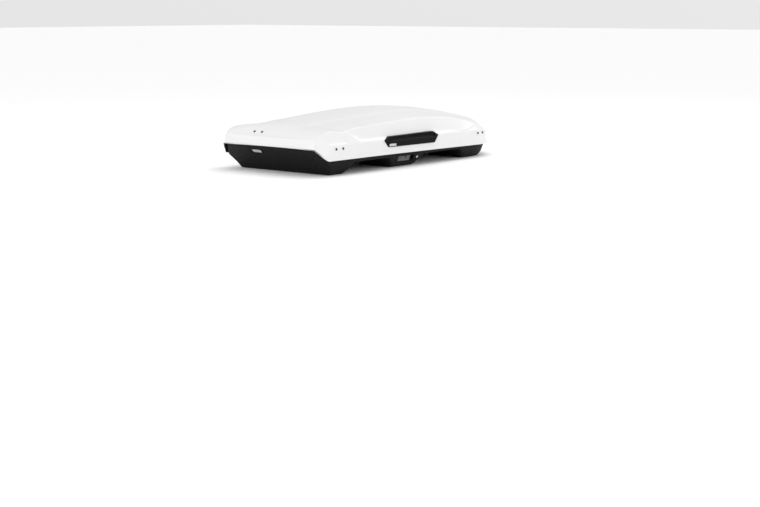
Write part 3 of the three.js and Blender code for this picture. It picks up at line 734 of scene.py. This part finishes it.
def rivet_black():
    """Black plastic rivet caps."""
    finish = Finish("rivet_cap_black", "1a1a1b", 0.4)
    finish.mottle(finish.noise(200.0, 4.0), "242425")
    finish.vary_roughness(finish.noise(300.0, 3.0), 0.34, 0.48)
    finish.raise_by(finish.noise(900.0, 3.0), 0.03, 0.6)
    return finish.material


WHITE = gloss_white()
LID_BACK_AND_SHADE = lid_back_and_painted_shade()
TRAY = tray_black_and_painted_shade()
TRIM = trim_black()
CLAMP = clamp_black()
LEVER = lever_grey()
STEEL = zinc_steel()
SPRING = spring_steel()
JAW = jaw_steel()
KEY = key_metal()
ALUMINIUM = aluminium()
BADGE = badge_grey()
RIVET = rivet_black()

# ------------------------ plan outline


def half_width(x):
    """Half the width of the lid's lower edge, with its rear corners cut off."""
    taper = np.maximum(0, (x - TAPER_START) / (NOSE_CORNER_X - TAPER_START))
    front = HALF_WIDTH - (HALF_WIDTH - NOSE_CORNER_Y) * taper**TAPER_POWER
    cut_slope = (HALF_WIDTH - REAR_CORNER_Y) / (REAR_CUT_X - REAR_CORNER_X)
    return soft_min(front, REAR_CORNER_Y + cut_slope * (x - REAR_CORNER_X), REAR_CUT_BEND)


def rear_edge(v):
    return -NOSE_X + (NOSE_X + REAR_CORNER_X) * v * v


def nose_edge(v):
    return NOSE_X - (NOSE_X - NOSE_CORNER_X) * np.abs(v) ** NOSE_POWER


def plan_point(side_x, v, inset, nose_inset):
    """A point of the plan grid: x along the side, v across from -1 to 1, moved in."""
    nose = (side_x - STRAIGHT_TO) / (NOSE_CORNER_X - STRAIGHT_TO)
    rear = (side_x - STRAIGHT_FROM) / (REAR_CORNER_X - STRAIGHT_FROM)
    nose_x = side_x + (nose_edge(v) - nose_inset - NOSE_CORNER_X) * nose
    rear_x = side_x + (rear_edge(v) + inset - REAR_CORNER_X) * rear
    x = np.where(side_x > STRAIGHT_TO, nose_x, side_x)
    x = np.where(side_x < STRAIGHT_FROM, rear_x, x)
    return x, v * (half_width(side_x) - inset)


def skirt_z(x):
    """The height of the lid's lower edge, stepping up round the rear corner."""
    nose_drop = SKIRT_NOSE_DROP * smooth(*SKIRT_NOSE_RUN, x)
    side = SKIRT_Z - SKIRT_BOW * (x - REAR_CUT_X) ** 2 - nose_drop
    rear = REAR_SKIRT_Z - SKIRT_STEP_SLOPE * (x - REAR_CORNER_X)
    rear = soft_min(rear, REAR_SKIRT_Z, SKIRT_UPPER_BEND)
    return soft_max(side, rear, SKIRT_LOWER_BEND)


# ------------------------ lid


def panel_half(x):
    return PANEL_HALF - (PANEL_HALF - PANEL_REAR_HALF) * ramp(*PANEL_TAPER, x) ** 2


def crown_z(x, y):
    """The crown, whose raised centre panel ends in two fine steps at each side."""
    rear = REAR_FALL * (np.maximum(-x, 0) / 1000) ** REAR_FALL_POWER
    nose = NOSE_FALL * (np.maximum(x, 0) / 1000) ** NOSE_FALL_POWER
    inside = panel_half(x) - np.abs(y)
    rise = OUTER_SHARE * smooth(*OUTER_STEP, inside)
    rise = rise + (1 - OUTER_SHARE) * smooth(*INNER_STEP, inside)
    rise = rise - DIP_SHARE * smooth(*DIP, inside) * smooth(*INNER_STEP[::-1], inside)
    return CROWN_Z - rear - nose - CROWN_SAG * y * y + PANEL_STEP * rise


def wall_top_z(x):
    rear = (REAR_WALL_TOP_Z - WALL_TOP_Z) * ramp(REAR_CUT_X, REAR_CORNER_X, x)
    return WALL_TOP_Z + rear - NOSE_WALL_DROP * smooth(*NOSE_WALL_RUN, x)


def inside_by(x, y):
    """How far a point lies in from the top of the wall, square to the nearest side."""
    side = half_width(x) - np.abs(y)
    v = np.minimum(1, np.abs(y) / NOSE_CORNER_Y)
    lean = (NOSE_X - NOSE_CORNER_X) * NOSE_POWER * v ** (NOSE_POWER - 1) / NOSE_CORNER_Y
    nose = (nose_edge(v) - x) / np.hypot(1, lean)
    return np.maximum(0, soft_min(side, nose, NOSE_SIDE_BEND) - WALL_DRAFT)


def side_slope(x):
    return SIDE_SLOPE - (SIDE_SLOPE - NOSE_SLOPE) * smooth(*SLOPE_CHANGE, x)


def arch_in(x):
    """How far the arched line lies in from the top of the wall."""
    return (eased(ARCH, x) - wall_top_z(x)) / side_slope(x)


def window_cut(x, inside, reach):
    """The long sunk panel: a sill along the wall and a slanting end at the rear and front."""
    up = inside * UP_SHARE
    rear_end = beyond_line(*WINDOW_REAR, x, up) / -WINDOW_CHAMFER
    front_end = beyond_line(*WINDOW_FRONT, x, up) / WINDOW_CHAMFER
    within = soft_min(rear_end, front_end, WINDOW_END_BEND)
    within = soft_min(within, up / BAND_WIDTH, WINDOW_SILL_BEND)
    sill_in = BAND_WIDTH / UP_SHARE
    fade = np.clip((reach - inside) / np.maximum(reach - sill_in, 1), 0, 1)
    return WINDOW_DEPTH * np.clip(within, 0, 1) * fade


def corner_cut(x, inside):
    """The six-sided face at each rear corner, let in by a narrow chamfer."""
    within = within_outline(CORNER_FACE, x, inside * UP_SHARE) / CORNER_CHAMFER
    return CORNER_DEPTH * np.clip(within, 0, 1)


def shoulder_z(x, y, reach):
    """The bulging strip between the centre panel's edge and the arched line."""
    arch_y = half_width(np.minimum(x, NOSE_CORNER_X)) - WALL_DRAFT - reach
    panel_y = panel_half(x)
    out = (np.abs(y) - panel_y) / (arch_y - panel_y)
    panel_edge = crown_z(x, panel_y + PANEL_LEAD)
    return panel_edge + (eased(ARCH, x) - panel_edge) * out + SHOULDER_CROWN * 4 * out * (1 - out)


def rear_slope_z(x):
    """The rear slope, which starts with a ledge along the top of the rear wall."""
    rear_in = np.maximum(0, x + NOSE_X - WALL_DRAFT)
    ledge = REAR_LEDGE_SLOPE * np.minimum(rear_in, REAR_LEDGE)
    slope = REAR_WALL_TOP_Z + ledge + REAR_SLOPE * np.maximum(rear_in - REAR_LEDGE, 0)
    return slope + REAR_BULGE * smooth(*REAR_BULGE_RUN, rear_in)


def lid_z(x, y):
    """The lid's upper surface: centre panel, shoulders, side panels and rear slope."""
    inside = inside_by(x, y)
    reach = arch_in(x)
    side = wall_top_z(x) + side_slope(x) * inside
    side = side - window_cut(x, inside, reach) - corner_cut(x, inside)
    beyond = smooth(-PANEL_LEAD, PANEL_LEAD, np.abs(y) - panel_half(x))
    top = crown_z(x, y) * (1 - beyond) + shoulder_z(x, y, reach) * beyond
    return soft_min(soft_min(top, side, ARCH_BEND), rear_slope_z(x), REAR_BEND)


def lid_columns(side_x):
    """Where the grid's columns cross each row: they follow the lid's long creases."""
    width = half_width(side_x) - WALL_DRAFT
    panel = np.minimum(panel_half(side_x), width - PANEL_ROOM)
    arch = np.clip(width - arch_in(side_x), panel + SHOULDER_ROOM, width - SIDE_ROOM)
    sill = width - np.minimum(BAND_WIDTH / SILL_UP_SHARE, (width - arch) * SILL_SHARE)
    knots = [  # each a line along the lid, and how many columns lie between it and the next
        (np.zeros_like(width), 20),
        (panel - INNER_STEP[1] - 2, 5),
        (panel - DIP[0] + 1, 3),
        (panel - PANEL_LEAD, 3),
        (panel + PANEL_LEAD, 12),
        (arch - ARCH_BEFORE, 5),
        (arch + ARCH_AFTER, 6),
        (sill - SILL_LEAD, 4),
        (sill + SILL_LEAD, 3),
        (width - EDGE_ROUND, 0),
    ]
    columns = []
    for (start, count), (end, _) in zip(knots, knots[1:]):
        columns += [start + (end - start) * k / count for k in range(count)]
    columns.append(knots[-1][0])
    half = np.stack(columns, -1) / (width - EDGE_ROUND)[:, None]
    return np.concatenate([-half[:, :0:-1], half], 1)


def make_lid():
    side_x = steps(
        (REAR_CORNER_X, -1000, 12),
        (-1000, -600, 80),
        (-600, 500, 74),
        (500, 760, 62),
        (760, NOSE_CORNER_X, 24),
    )
    v = lid_columns(side_x)
    rows_x = np.repeat(side_x[:, None], v.shape[1], 1)
    inset = WALL_DRAFT + EDGE_ROUND
    x, y = plan_point(rows_x, v, inset, inset)
    rows = np.stack([x, y, lid_z(x, y)], -1)

    def outline(i, j, inset_by):
        return plan_point(side_x[i], v[i, j], inset_by, inset_by)

    def edge_ring(t):
        """The rounded edge: a curve from the grid over the wall's top and down."""

        def place(i, j):
            x0, y0 = outline(i, j, inset)
            x1, y1 = outline(i, j, WALL_DRAFT)
            high, corner = lid_z(x0, y0), wall_top_z(x1)
            low = EDGE_ROUND / (corner - skirt_z(x1))
            x2, y2 = outline(i, j, WALL_DRAFT * (1 - low))
            start, bend, end = (1 - t) ** 2, 2 * t * (1 - t), t * t
            return np.stack(
                [
                    start * x0 + bend * x1 + end * x2,
                    start * y0 + bend * y1 + end * y2,
                    start * high + bend * corner + end * (corner - EDGE_ROUND),
                ],
                -1,
            )

        return place

    def wall_ring(t):
        def place(i, j):
            x1, _ = outline(i, j, WALL_DRAFT)
            high, low = wall_top_z(x1) - EDGE_ROUND, skirt_z(x1) + HEM
            start = WALL_DRAFT * (1 - EDGE_ROUND / (high + EDGE_ROUND - low))
            x2, y2 = outline(i, j, start * (1 - t))
            return np.stack([x2, y2, high + (low - high) * t], -1)

        return place

    def hem_ring(i, j):
        x1, y1 = outline(i, j, HEM)
        return np.stack([x1, y1, skirt_z(x1)], -1)

    rings = [edge_ring(t) for t in (0.25, 0.5, 0.75, 1.0)]
    rings += [wall_ring(t) for t in (0.2, 0.4, 0.6, 0.8, 0.95, 1.0)]
    points, faces = closed_shell(rows, [*rings, hem_ring], LID_WALL, 1)
    # The inner sheet takes the dark lining, whose colour is partly painted shade for the inside
    # of the skirt.
    lid = add_mesh("lid_skin", points, faces, WHITE, "lid", 60.0, (LID_BACK_AND_SHADE, len(points) // 2))
    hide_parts("lid_shell")


# ------------------------ tray


def side_face_z(x, y):
    """The tray's sides and nose, which lean in and bulge a little low down."""
    side = half_width(x) - TRAY_INSET - np.abs(y)
    v = np.minimum(1, np.abs(y) / NOSE_CORNER_Y)
    nose = NOSE_SHARE * (nose_edge(v) - TRAY_NOSE_INSET - x)
    inside = np.maximum(0, soft_min(side, nose, TRAY_NOSE_BEND))
    bulge = SKIRT_Z * (BULGE_SHARE - (inside - BULGE_IN) / BULGE_RUN) * BULGE_SHARE
    return soft_max(SKIRT_Z * along(SIDE_FACE, inside), bulge, BULGE_BEND)


def rear_face_z(x, y):
    """The leaning rear face, with a raised pad under the badge."""
    in_x = np.minimum(x - BADGE_PAD_X[0], BADGE_PAD_X[1] - x)
    in_y = np.minimum(y - BADGE_PAD_Y[0], BADGE_PAD_Y[1] - y)
    pad = BADGE_PAD_HEIGHT * smooth(0, BADGE_PAD_EDGE, np.minimum(in_y, in_x))
    return along(REAR_FACE, x) + pad


def belly_z(x, y):
    """The bellies and crossbar channels, with beads that run along the floor."""
    bead = np.zeros_like(y)
    for middle in BEAD_Y:
        bead = np.maximum(bead, smooth(*BEAD_SIDES, np.abs(y - middle)))
    ends = smooth(*BEAD_REAR_END, x) * smooth(*BEAD_FRONT_END, x)
    return along(CHANNELS, x) + BEAD_HEIGHT * bead * ends


def tray_z(x, y):
    """The tray's outer surface: side faces, rear face, bellies and crossbar channels."""
    z = soft_max(side_face_z(x, y), rear_face_z(x, y), REAR_FACE_BEND)
    z = soft_max(z, belly_z(x, y), BELLY_BEND)
    return z - BLEND_LIFT * smooth(BLEND_FROM, BLEND_LIFT, z)


def rim_z(x):
    return np.maximum(skirt_z(x), along(REAR_FACE, x))


def mirrored(span, side):
    return tuple(side * y for y in span)


def tray_openings():
    """Boxes for the clamp slots, the lock windows and the notches round the lid's studs."""
    boxes = []
    for side in SIDES.values():
        for x in STUD_X.values():
            boxes.append(((x - NOTCH_HALF, x + NOTCH_HALF), mirrored(NOTCH_Y, side), NOTCH_Z))
        boxes.append((LOCK_X, mirrored(LOCK_Y, side), LOCK_Z))
        for x in CROSSBAR_X.values():
            slot_x = (x - SLOT_HALF_LENGTH, x + SLOT_HALF_LENGTH)
            slot_y = (side * CLAMP_Y - SLOT_HALF_WIDTH, side * CLAMP_Y + SLOT_HALF_WIDTH)
            boxes.append((slot_x, slot_y, SLOT_Z))
    return boxes


def make_tray():
    side_x = steps(
        (REAR_CORNER_X, -1000, 12),
        (-1000, -870, 26),
        (-870, 560, 150),
        (560, NOSE_CORNER_X, 44),
    )
    v = steps((0, 0.84, 52), (0.84, 1, 24))
    v = np.concatenate([-v[:0:-1], v])
    rows_x = np.repeat(side_x[:, None], len(v), 1)
    x, y = plan_point(rows_x, v[None, :], TRAY_INSET, TRAY_NOSE_INSET)
    z = tray_z(x, y)
    for edge in (np.s_[0, :], np.s_[-1, :], np.s_[:, 0], np.s_[:, -1]):
        z[edge] = rim_z(x[edge])
    rows = np.stack([x, y, z], -1)

    def lip_ring(height):
        def place(i, j):
            x1, y1 = plan_point(side_x[i], v[j], TRAY_INSET, TRAY_NOSE_INSET)
            return np.stack([x1, y1, rim_z(x1) + height], -1)

        return place

    rings = [lip_ring(height) for height in (LIP_FOOT, LIP_HEIGHT - 1, LIP_HEIGHT)]
    points, faces = closed_shell(rows, rings, TRAY_WALL, -1)
    # The tray's finish is near black, partly as painted shade for the shade under the box.
    tray = add_mesh("tray_skin", points, faces, TRAY, "base", 50.0)
    cut(tray, tray_openings())
    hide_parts("base_tray")


def tray_face_y(z):
    """How far out the tray's side lies where the lock is."""
    lower_face = [(share, distance_in) for distance_in, share in SIDE_FACE[1::-1]]
    return HALF_WIDTH - TRAY_INSET - along(lower_face, z / SKIRT_Z)


# ------------------------ grips


def lid_side_y(z):
    """How far out the lid's side lies at height z, behind the grip."""
    wall = HALF_WIDTH - WALL_DRAFT * (z - SKIRT_Z) / (WALL_TOP_Z - SKIRT_Z)
    sill = HALF_WIDTH - WALL_DRAFT - (z - WALL_TOP_Z)
    return np.where(z < WALL_TOP_Z, wall, sill)


def groove_depth(x, z):
    """The finger groove along the grip's upper half, with leaning ends."""
    above = z - GROOVE_MIDDLE_Z
    rear_end = x - GROOVE_X[0] - GROOVE_LEAN[0] * above
    front_end = GROOVE_X[1] - x - GROOVE_LEAN[1] * above
    ends = np.minimum(rear_end, front_end) * GROOVE_END_SHARE
    sides = np.minimum((z - GROOVE_Z[0]) * GROOVE_LOWER_SHARE, GROOVE_Z[1] - z)
    return GROOVE_DEPTH * np.clip(np.minimum(sides, ends) / GROOVE_RUN, 0, 1)


def grip_depth(x, z):
    """How far the grip's face lies below its highest plane."""
    outline = [*GRIP_BOTTOM, GRIP_POINTS[1], *GRIP_TOP[::-1], GRIP_POINTS[0]]
    edge = within_outline(outline, x, z)
    chamfer = np.maximum(0, GRIP_CHAMFER - edge) ** 2 / GRIP_CHAMFER_SPREAD
    plate = smooth(0, PLATE_RUN, np.minimum(PLATE_TOP_Z - z, edge - PLATE_MARGIN))
    rear_end = smooth(*REAR_END_RUN, x + END_LEAN * (z - END_MIDDLE_Z))
    front_end = smooth(*FRONT_END_RUN, x)
    return chamfer + groove_depth(x, z) + PLATE_DEPTH * plate + END_FALL * (rear_end + front_end)


def make_grip(side_name, side):
    u = steps((0, 0.03, 6), (0.03, 0.16, 16), (0.16, 0.84, 60), (0.84, 0.97, 16), (0.97, 1, 6))
    w = steps((0, 0.05, 5), (0.05, POINT_SHARE, 22), (POINT_SHARE, 0.95, 16), (0.95, 1, 5))
    u, w = np.meshgrid(u, w, indexing="ij")
    ends = [
        np.interp(w, [0, POINT_SHARE, 1], [GRIP_BOTTOM[k][0], GRIP_POINTS[k][0], GRIP_TOP[k][0]])
        for k in (0, 1)
    ]
    x = ends[0] + (ends[1] - ends[0]) * u
    low, high = along(GRIP_BOTTOM, x), along(GRIP_TOP, x)
    z = low + (high - low) * w
    face = np.maximum(GRIP_OUT_Y - grip_depth(x, z), lid_side_y(z) - EDGE_SINK)
    rows = np.stack([x, side * face, z], -1)

    def back(i, j):
        return np.stack([x[i, j], side * (lid_side_y(z[i, j]) - BACK_SINK), z[i, j]], -1)

    points, faces = block(rows, back, side)
    grip = add_mesh(f"{side_name}_grip", points, faces, TRIM, "lid", 40.0)
    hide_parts(f"{side_name}_handle")


# ------------------------ knobs, caps and collars


def knob_radius(radius, angles):
    depth = LOBE_DEPTH * np.clip((radius - LOBE_START) / LOBE_RUN, 0, 1)
    return radius + depth * np.cos(KNOB_LOBES * angles)


def make_knob(side_name, side, end):
    clamp = f"{side_name}_{end}"
    points, faces = lathe(KNOB_PROFILE, KNOB_SPOKES, knob_radius)
    points = points + np.array([CROSSBAR_X[end], side * CLAMP_Y, 0])
    knob = add_mesh(f"{clamp}_knob_grip", points, faces, LEVER, f"{clamp}_knob", 50.0)
    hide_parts(f"{clamp}_clamp_knob")


def stand_up(points, at, out):
    """Points drawn about the Z axis, moved so that Z points out from a place."""
    turn = Vector(out).to_track_quat("Z", "X").to_matrix()
    return points @ np.array(turn).T + np.array(at)


def cad_box(node):
    """The low and high corners of a CAD part's box, in millimetres."""
    low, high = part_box(node)
    return np.array(low) / MM, np.array(high) / MM


def rivet_outward(prefix, side):
    """Square to the lid's wall at a pair of side rivets."""
    low, high = cad_box(f"{prefix}_rivets")
    x = (low[0] + high[0]) / 2
    step = 5
    turn_in = (half_width(x + step) - half_width(x - step)) / (2 * step)
    lean = WALL_DRAFT / (wall_top_z(x) - skirt_z(x))
    return (-turn_in, side, lean)


def rivet_heads(node, out):
    """The middles of the two rivet heads of a pair, from the pair's own mesh."""
    out = np.array(Vector(out).normalized())
    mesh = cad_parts[node].data
    points = np.array([vertex.co for vertex in mesh.vertices]) / MM
    height = points @ out
    top = points[height > height.max() - HEAD_SKIN]
    middle = top.mean(0)
    run = np.linalg.svd(top - middle)[2][0]
    along_run = (top - middle) @ run
    return [top[along_run < 0].mean(0), top[along_run > 0].mean(0)]


def make_rivet_caps(prefix, out):
    """Domed snap caps over a pair of rivets."""
    points, faces = [], []
    for middle in rivet_heads(f"{prefix}_rivets", out):
        dome, dome_faces = lathe(DOME_PROFILE, DOME_SPOKES)
        faces += shifted(dome_faces, len(points))
        points += list(stand_up(dome, middle, out))
    caps = add_mesh(f"{prefix}_rivet_caps", points, faces, RIVET, "lid", 50.0)


def make_key_collar(side_name, side):
    """The pressed ring round the keyhole, lying in the housing's sloping face."""
    points, faces = lathe(COLLAR_PROFILE, COLLAR_SPOKES, hollow=True)
    rise = tray_face_y(KEY_Z + 1) - tray_face_y(KEY_Z)
    middle = (KEY_X, side * (tray_face_y(KEY_Z) + COLLAR_PROUD), KEY_Z)
    points = stand_up(points, middle, (0, side, -rise))
    collar = add_mesh(f"{side_name}_key_collar", points, faces, KEY, "base", 40.0)


# ------------------------ lever ribs and badge bars


def make_lever_ribs(side_name, side):
    """Thumb ribs on the lever's two wings."""
    section = [
        (0, RIB_ROOT),
        (RIB_DRAFT, RIB_TOP),
        (RIB_WIDTH - RIB_DRAFT, RIB_TOP),
        (RIB_WIDTH, RIB_ROOT),
    ]
    points, faces = [], []
    for wing_x in (LEVER_X, LEVER_X + LEVER_LENGTH - LEVER_WING):
        for rib in range(RIB_COUNT):
            x = wing_x + RIB_MARGIN + rib * RIB_PITCH
            faces += prism_faces(len(points), side < 0)
            for z in RIB_Z:
                points += [(x + dx, side * (tray_face_y(z) + dy), z) for dx, dy in section]
    ribs = add_mesh(f"{side_name}_lever_ribs", points, faces, LEVER, f"{side_name}_latch")
    bevel_edges(ribs, RIB_BEVEL)


def make_badge_bars(name, body, middle, axes, half_height, stretch=1.0):
    """Plain slanting bars raised on a badge, in place of any mark.

    The axes point across the badge, up it and out of it.
    """
    across, up, out = (np.array(Vector(axis).normalized()) for axis in axes)
    turned = np.dot(np.cross(across, up), out) < 0
    points, faces = [], []
    for bar in range(BAR_COUNT):
        bar_at = (bar - (BAR_COUNT - 1) / 2) * BAR_PITCH * stretch
        faces += prism_faces(len(points), turned)
        for height, draft in ((BAR_ROOT, 0), (BAR_TOP, BAR_DRAFT)):
            half_run = BAR_WIDTH * stretch / 2 - draft
            for a, b in SQUARE:
                run = bar_at + a * half_run + b * half_height * BAR_SLANT
                rise = b * (half_height - draft)
                points.append(np.array(middle) + across * run + up * rise + out * height)
    bars = add_mesh(name, points, faces, BADGE, body)


def make_grip_badge_bars(side_name, side):
    low, high = cad_box(f"{side_name}_handle_badge")
    middle = (low + high) / 2
    middle[1] = high[1] if side > 0 else low[1]
    axes = [(-side, 0, 0), (0, 0, 1), (0, side, 0)]
    make_badge_bars(f"{side_name}_grip_badge_bars", "lid", middle, axes, GRIP_BAR_HALF)


def make_rear_badge_bars():
    low, high = cad_box("rear_badge")
    fall = np.subtract(REAR_FACE[1], REAR_FACE[0])
    fall_x, fall_z = fall / np.linalg.norm(fall)
    out = np.array([fall_z, 0, -fall_x])
    middle = (low + high) / 2 + out * REAR_BADGE_LIFT
    axes = [(0, -1, 0), (-fall_x, 0, -fall_z), out]
    make_badge_bars("rear_badge_bars", "base", middle, axes, REAR_BAR_HALF, REAR_BAR_STRETCH)


# ------------------------ the CAD's own parts


def soften(node, finish, width=0.5):
    """A CAD part keeps its shape and gets a finish and slightly rounded edges."""
    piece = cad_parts[node]
    piece.data.materials.clear()
    piece.data.materials.append(finish)
    piece.data.shade_smooth()
    weld = piece.modifiers.new("weld", "WELD")
    weld.merge_threshold = 0.01 * MM
    bevel = bevel_edges(piece, width)
    bevel.harden_normals = True


def soften_clamp(clamp):
    soften(f"{clamp}_slide_rail", STEEL)
    soften(f"{clamp}_clamp_body", CLAMP, 1.0)
    soften(f"{clamp}_front_jaw", JAW)
    soften(f"{clamp}_rear_jaw", JAW)


def soften_lock(side_name):
    soften(f"{side_name}_latch_bar", STEEL)
    soften(f"{side_name}_lock_housing", TRIM, 0.8)
    soften(f"{side_name}_slide_lever", LEVER, 1.0)
    soften(f"{side_name}_key_cylinder", KEY, 0.3)


def soften_arm(end):
    soften(f"{end}_swing_arm", STEEL)
    soften(f"{end}_arm_bracket", STEEL)
    soften(f"{end}_lift_spring", SPRING, 0.05)
    soften(f"{end}_lid_stiffener", ALUMINIUM)


make_lid()
make_tray()
for side_name, side in SIDES.items():
    make_grip(side_name, side)
    for end in ENDS:
        make_knob(side_name, side, end)
        soften_clamp(f"{side_name}_{end}")
        soften(f"{side_name}_{end}_rivets", RIVET, 0.6)
    for end in STUD_X:
        soften(f"{side_name}_{end}_lid_stud", STEEL)
    soften_lock(side_name)
    soften(f"{side_name}_handle_badge", BADGE, 0.3)
for end in ENDS:
    soften_arm(end)
soften("rear_badge", BADGE, 0.3)
soften("rear_rivets", RIVET, 0.6)
for side_name, side in SIDES.items():
    make_lever_ribs(side_name, side)
    make_key_collar(side_name, side)
    for end in ENDS:
        make_rivet_caps(f"{side_name}_{end}", rivet_outward(f"{side_name}_{end}", side))
    make_grip_badge_bars(side_name, side)
make_rear_badge_bars()
make_rivet_caps("rear", (-REAR_SLOPE, 0, 1))

# ------------------------ floor, light and camera


def make_floor():
    mesh = bpy.data.meshes.new("floor")
    corners = [(x * FLOOR_REACH, y * FLOOR_REACH, 0) for x, y in SQUARE]
    mesh.from_pydata(corners, [], [(0, 1, 2, 3)])
    floor = bpy.data.objects.new("floor", mesh)
    floor.location.z = -FLOOR_DROP
    bpy.context.scene.collection.objects.link(floor)
    finish = Finish("pale_floor", "fdfdfd", 0.9)
    mesh.materials.append(finish.material)
    floor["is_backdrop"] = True


def make_room():
    """A white room, brighter on the near side than on the far side."""
    world = bpy.data.worlds.new("studio")
    world.use_nodes = True
    nodes, links = world.node_tree.nodes, world.node_tree.links
    background = nodes["Background"]
    background.inputs["Color"].default_value = (1, 1, 1, 1)
    towards = nodes.new("ShaderNodeVectorMath")
    towards.operation = "DOT_PRODUCT"
    towards.inputs[1].default_value = Vector(NEAR_SIDE).normalized()
    links.new(nodes.new("ShaderNodeTexCoord").outputs["Generated"], towards.inputs[0])
    fade = map_range(nodes, (-1, 1), ROOM)
    links.new(towards.outputs["Value"], fade.inputs["Value"])
    links.new(fade.outputs["Result"], background.inputs["Strength"])
    bpy.context.scene.world = world


def make_light(name, place, width, height, watts):
    """A soft rectangular light that faces the box."""
    data = bpy.data.lights.new(name, "AREA")
    data.shape = "RECTANGLE"
    data.size, data.size_y = width, height
    data.energy = watts
    light = bpy.data.objects.new(name, data)
    light.location = place
    light.rotation_euler = (Vector(AIM) - Vector(place)).to_track_quat("-Z", "Y").to_euler()
    bpy.context.scene.collection.objects.link(light)


def make_camera():
    """The photograph's viewing angle: 39 degrees off the box's length and 10 down."""
    yaw, pitch = math.radians(CAMERA_YAW), math.radians(CAMERA_PITCH)
    level = math.cos(pitch)
    ahead = Vector((math.cos(yaw) * level, math.sin(yaw) * level, -math.sin(pitch)))
    data = bpy.data.cameras.new("camera")
    data.lens = CAMERA_LENS
    data.sensor_width = CAMERA_SENSOR
    camera = bpy.data.objects.new("camera", data)
    camera.location = CAMERA_PLACE
    camera.rotation_euler = ahead.to_track_quat("-Z", "Y").to_euler()
    bpy.context.scene.collection.objects.link(camera)
    bpy.context.scene.camera = camera


make_floor()
make_room()
for light_name, light in LIGHTS.items():
    make_light(light_name, *light)
make_camera()
bpy.context.scene.view_settings.view_transform = "Standard"

boxes = {"cad": cad_bounds, "visual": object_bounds()}
{name: [list(corner) for corner in box] for name, box in boxes.items()}
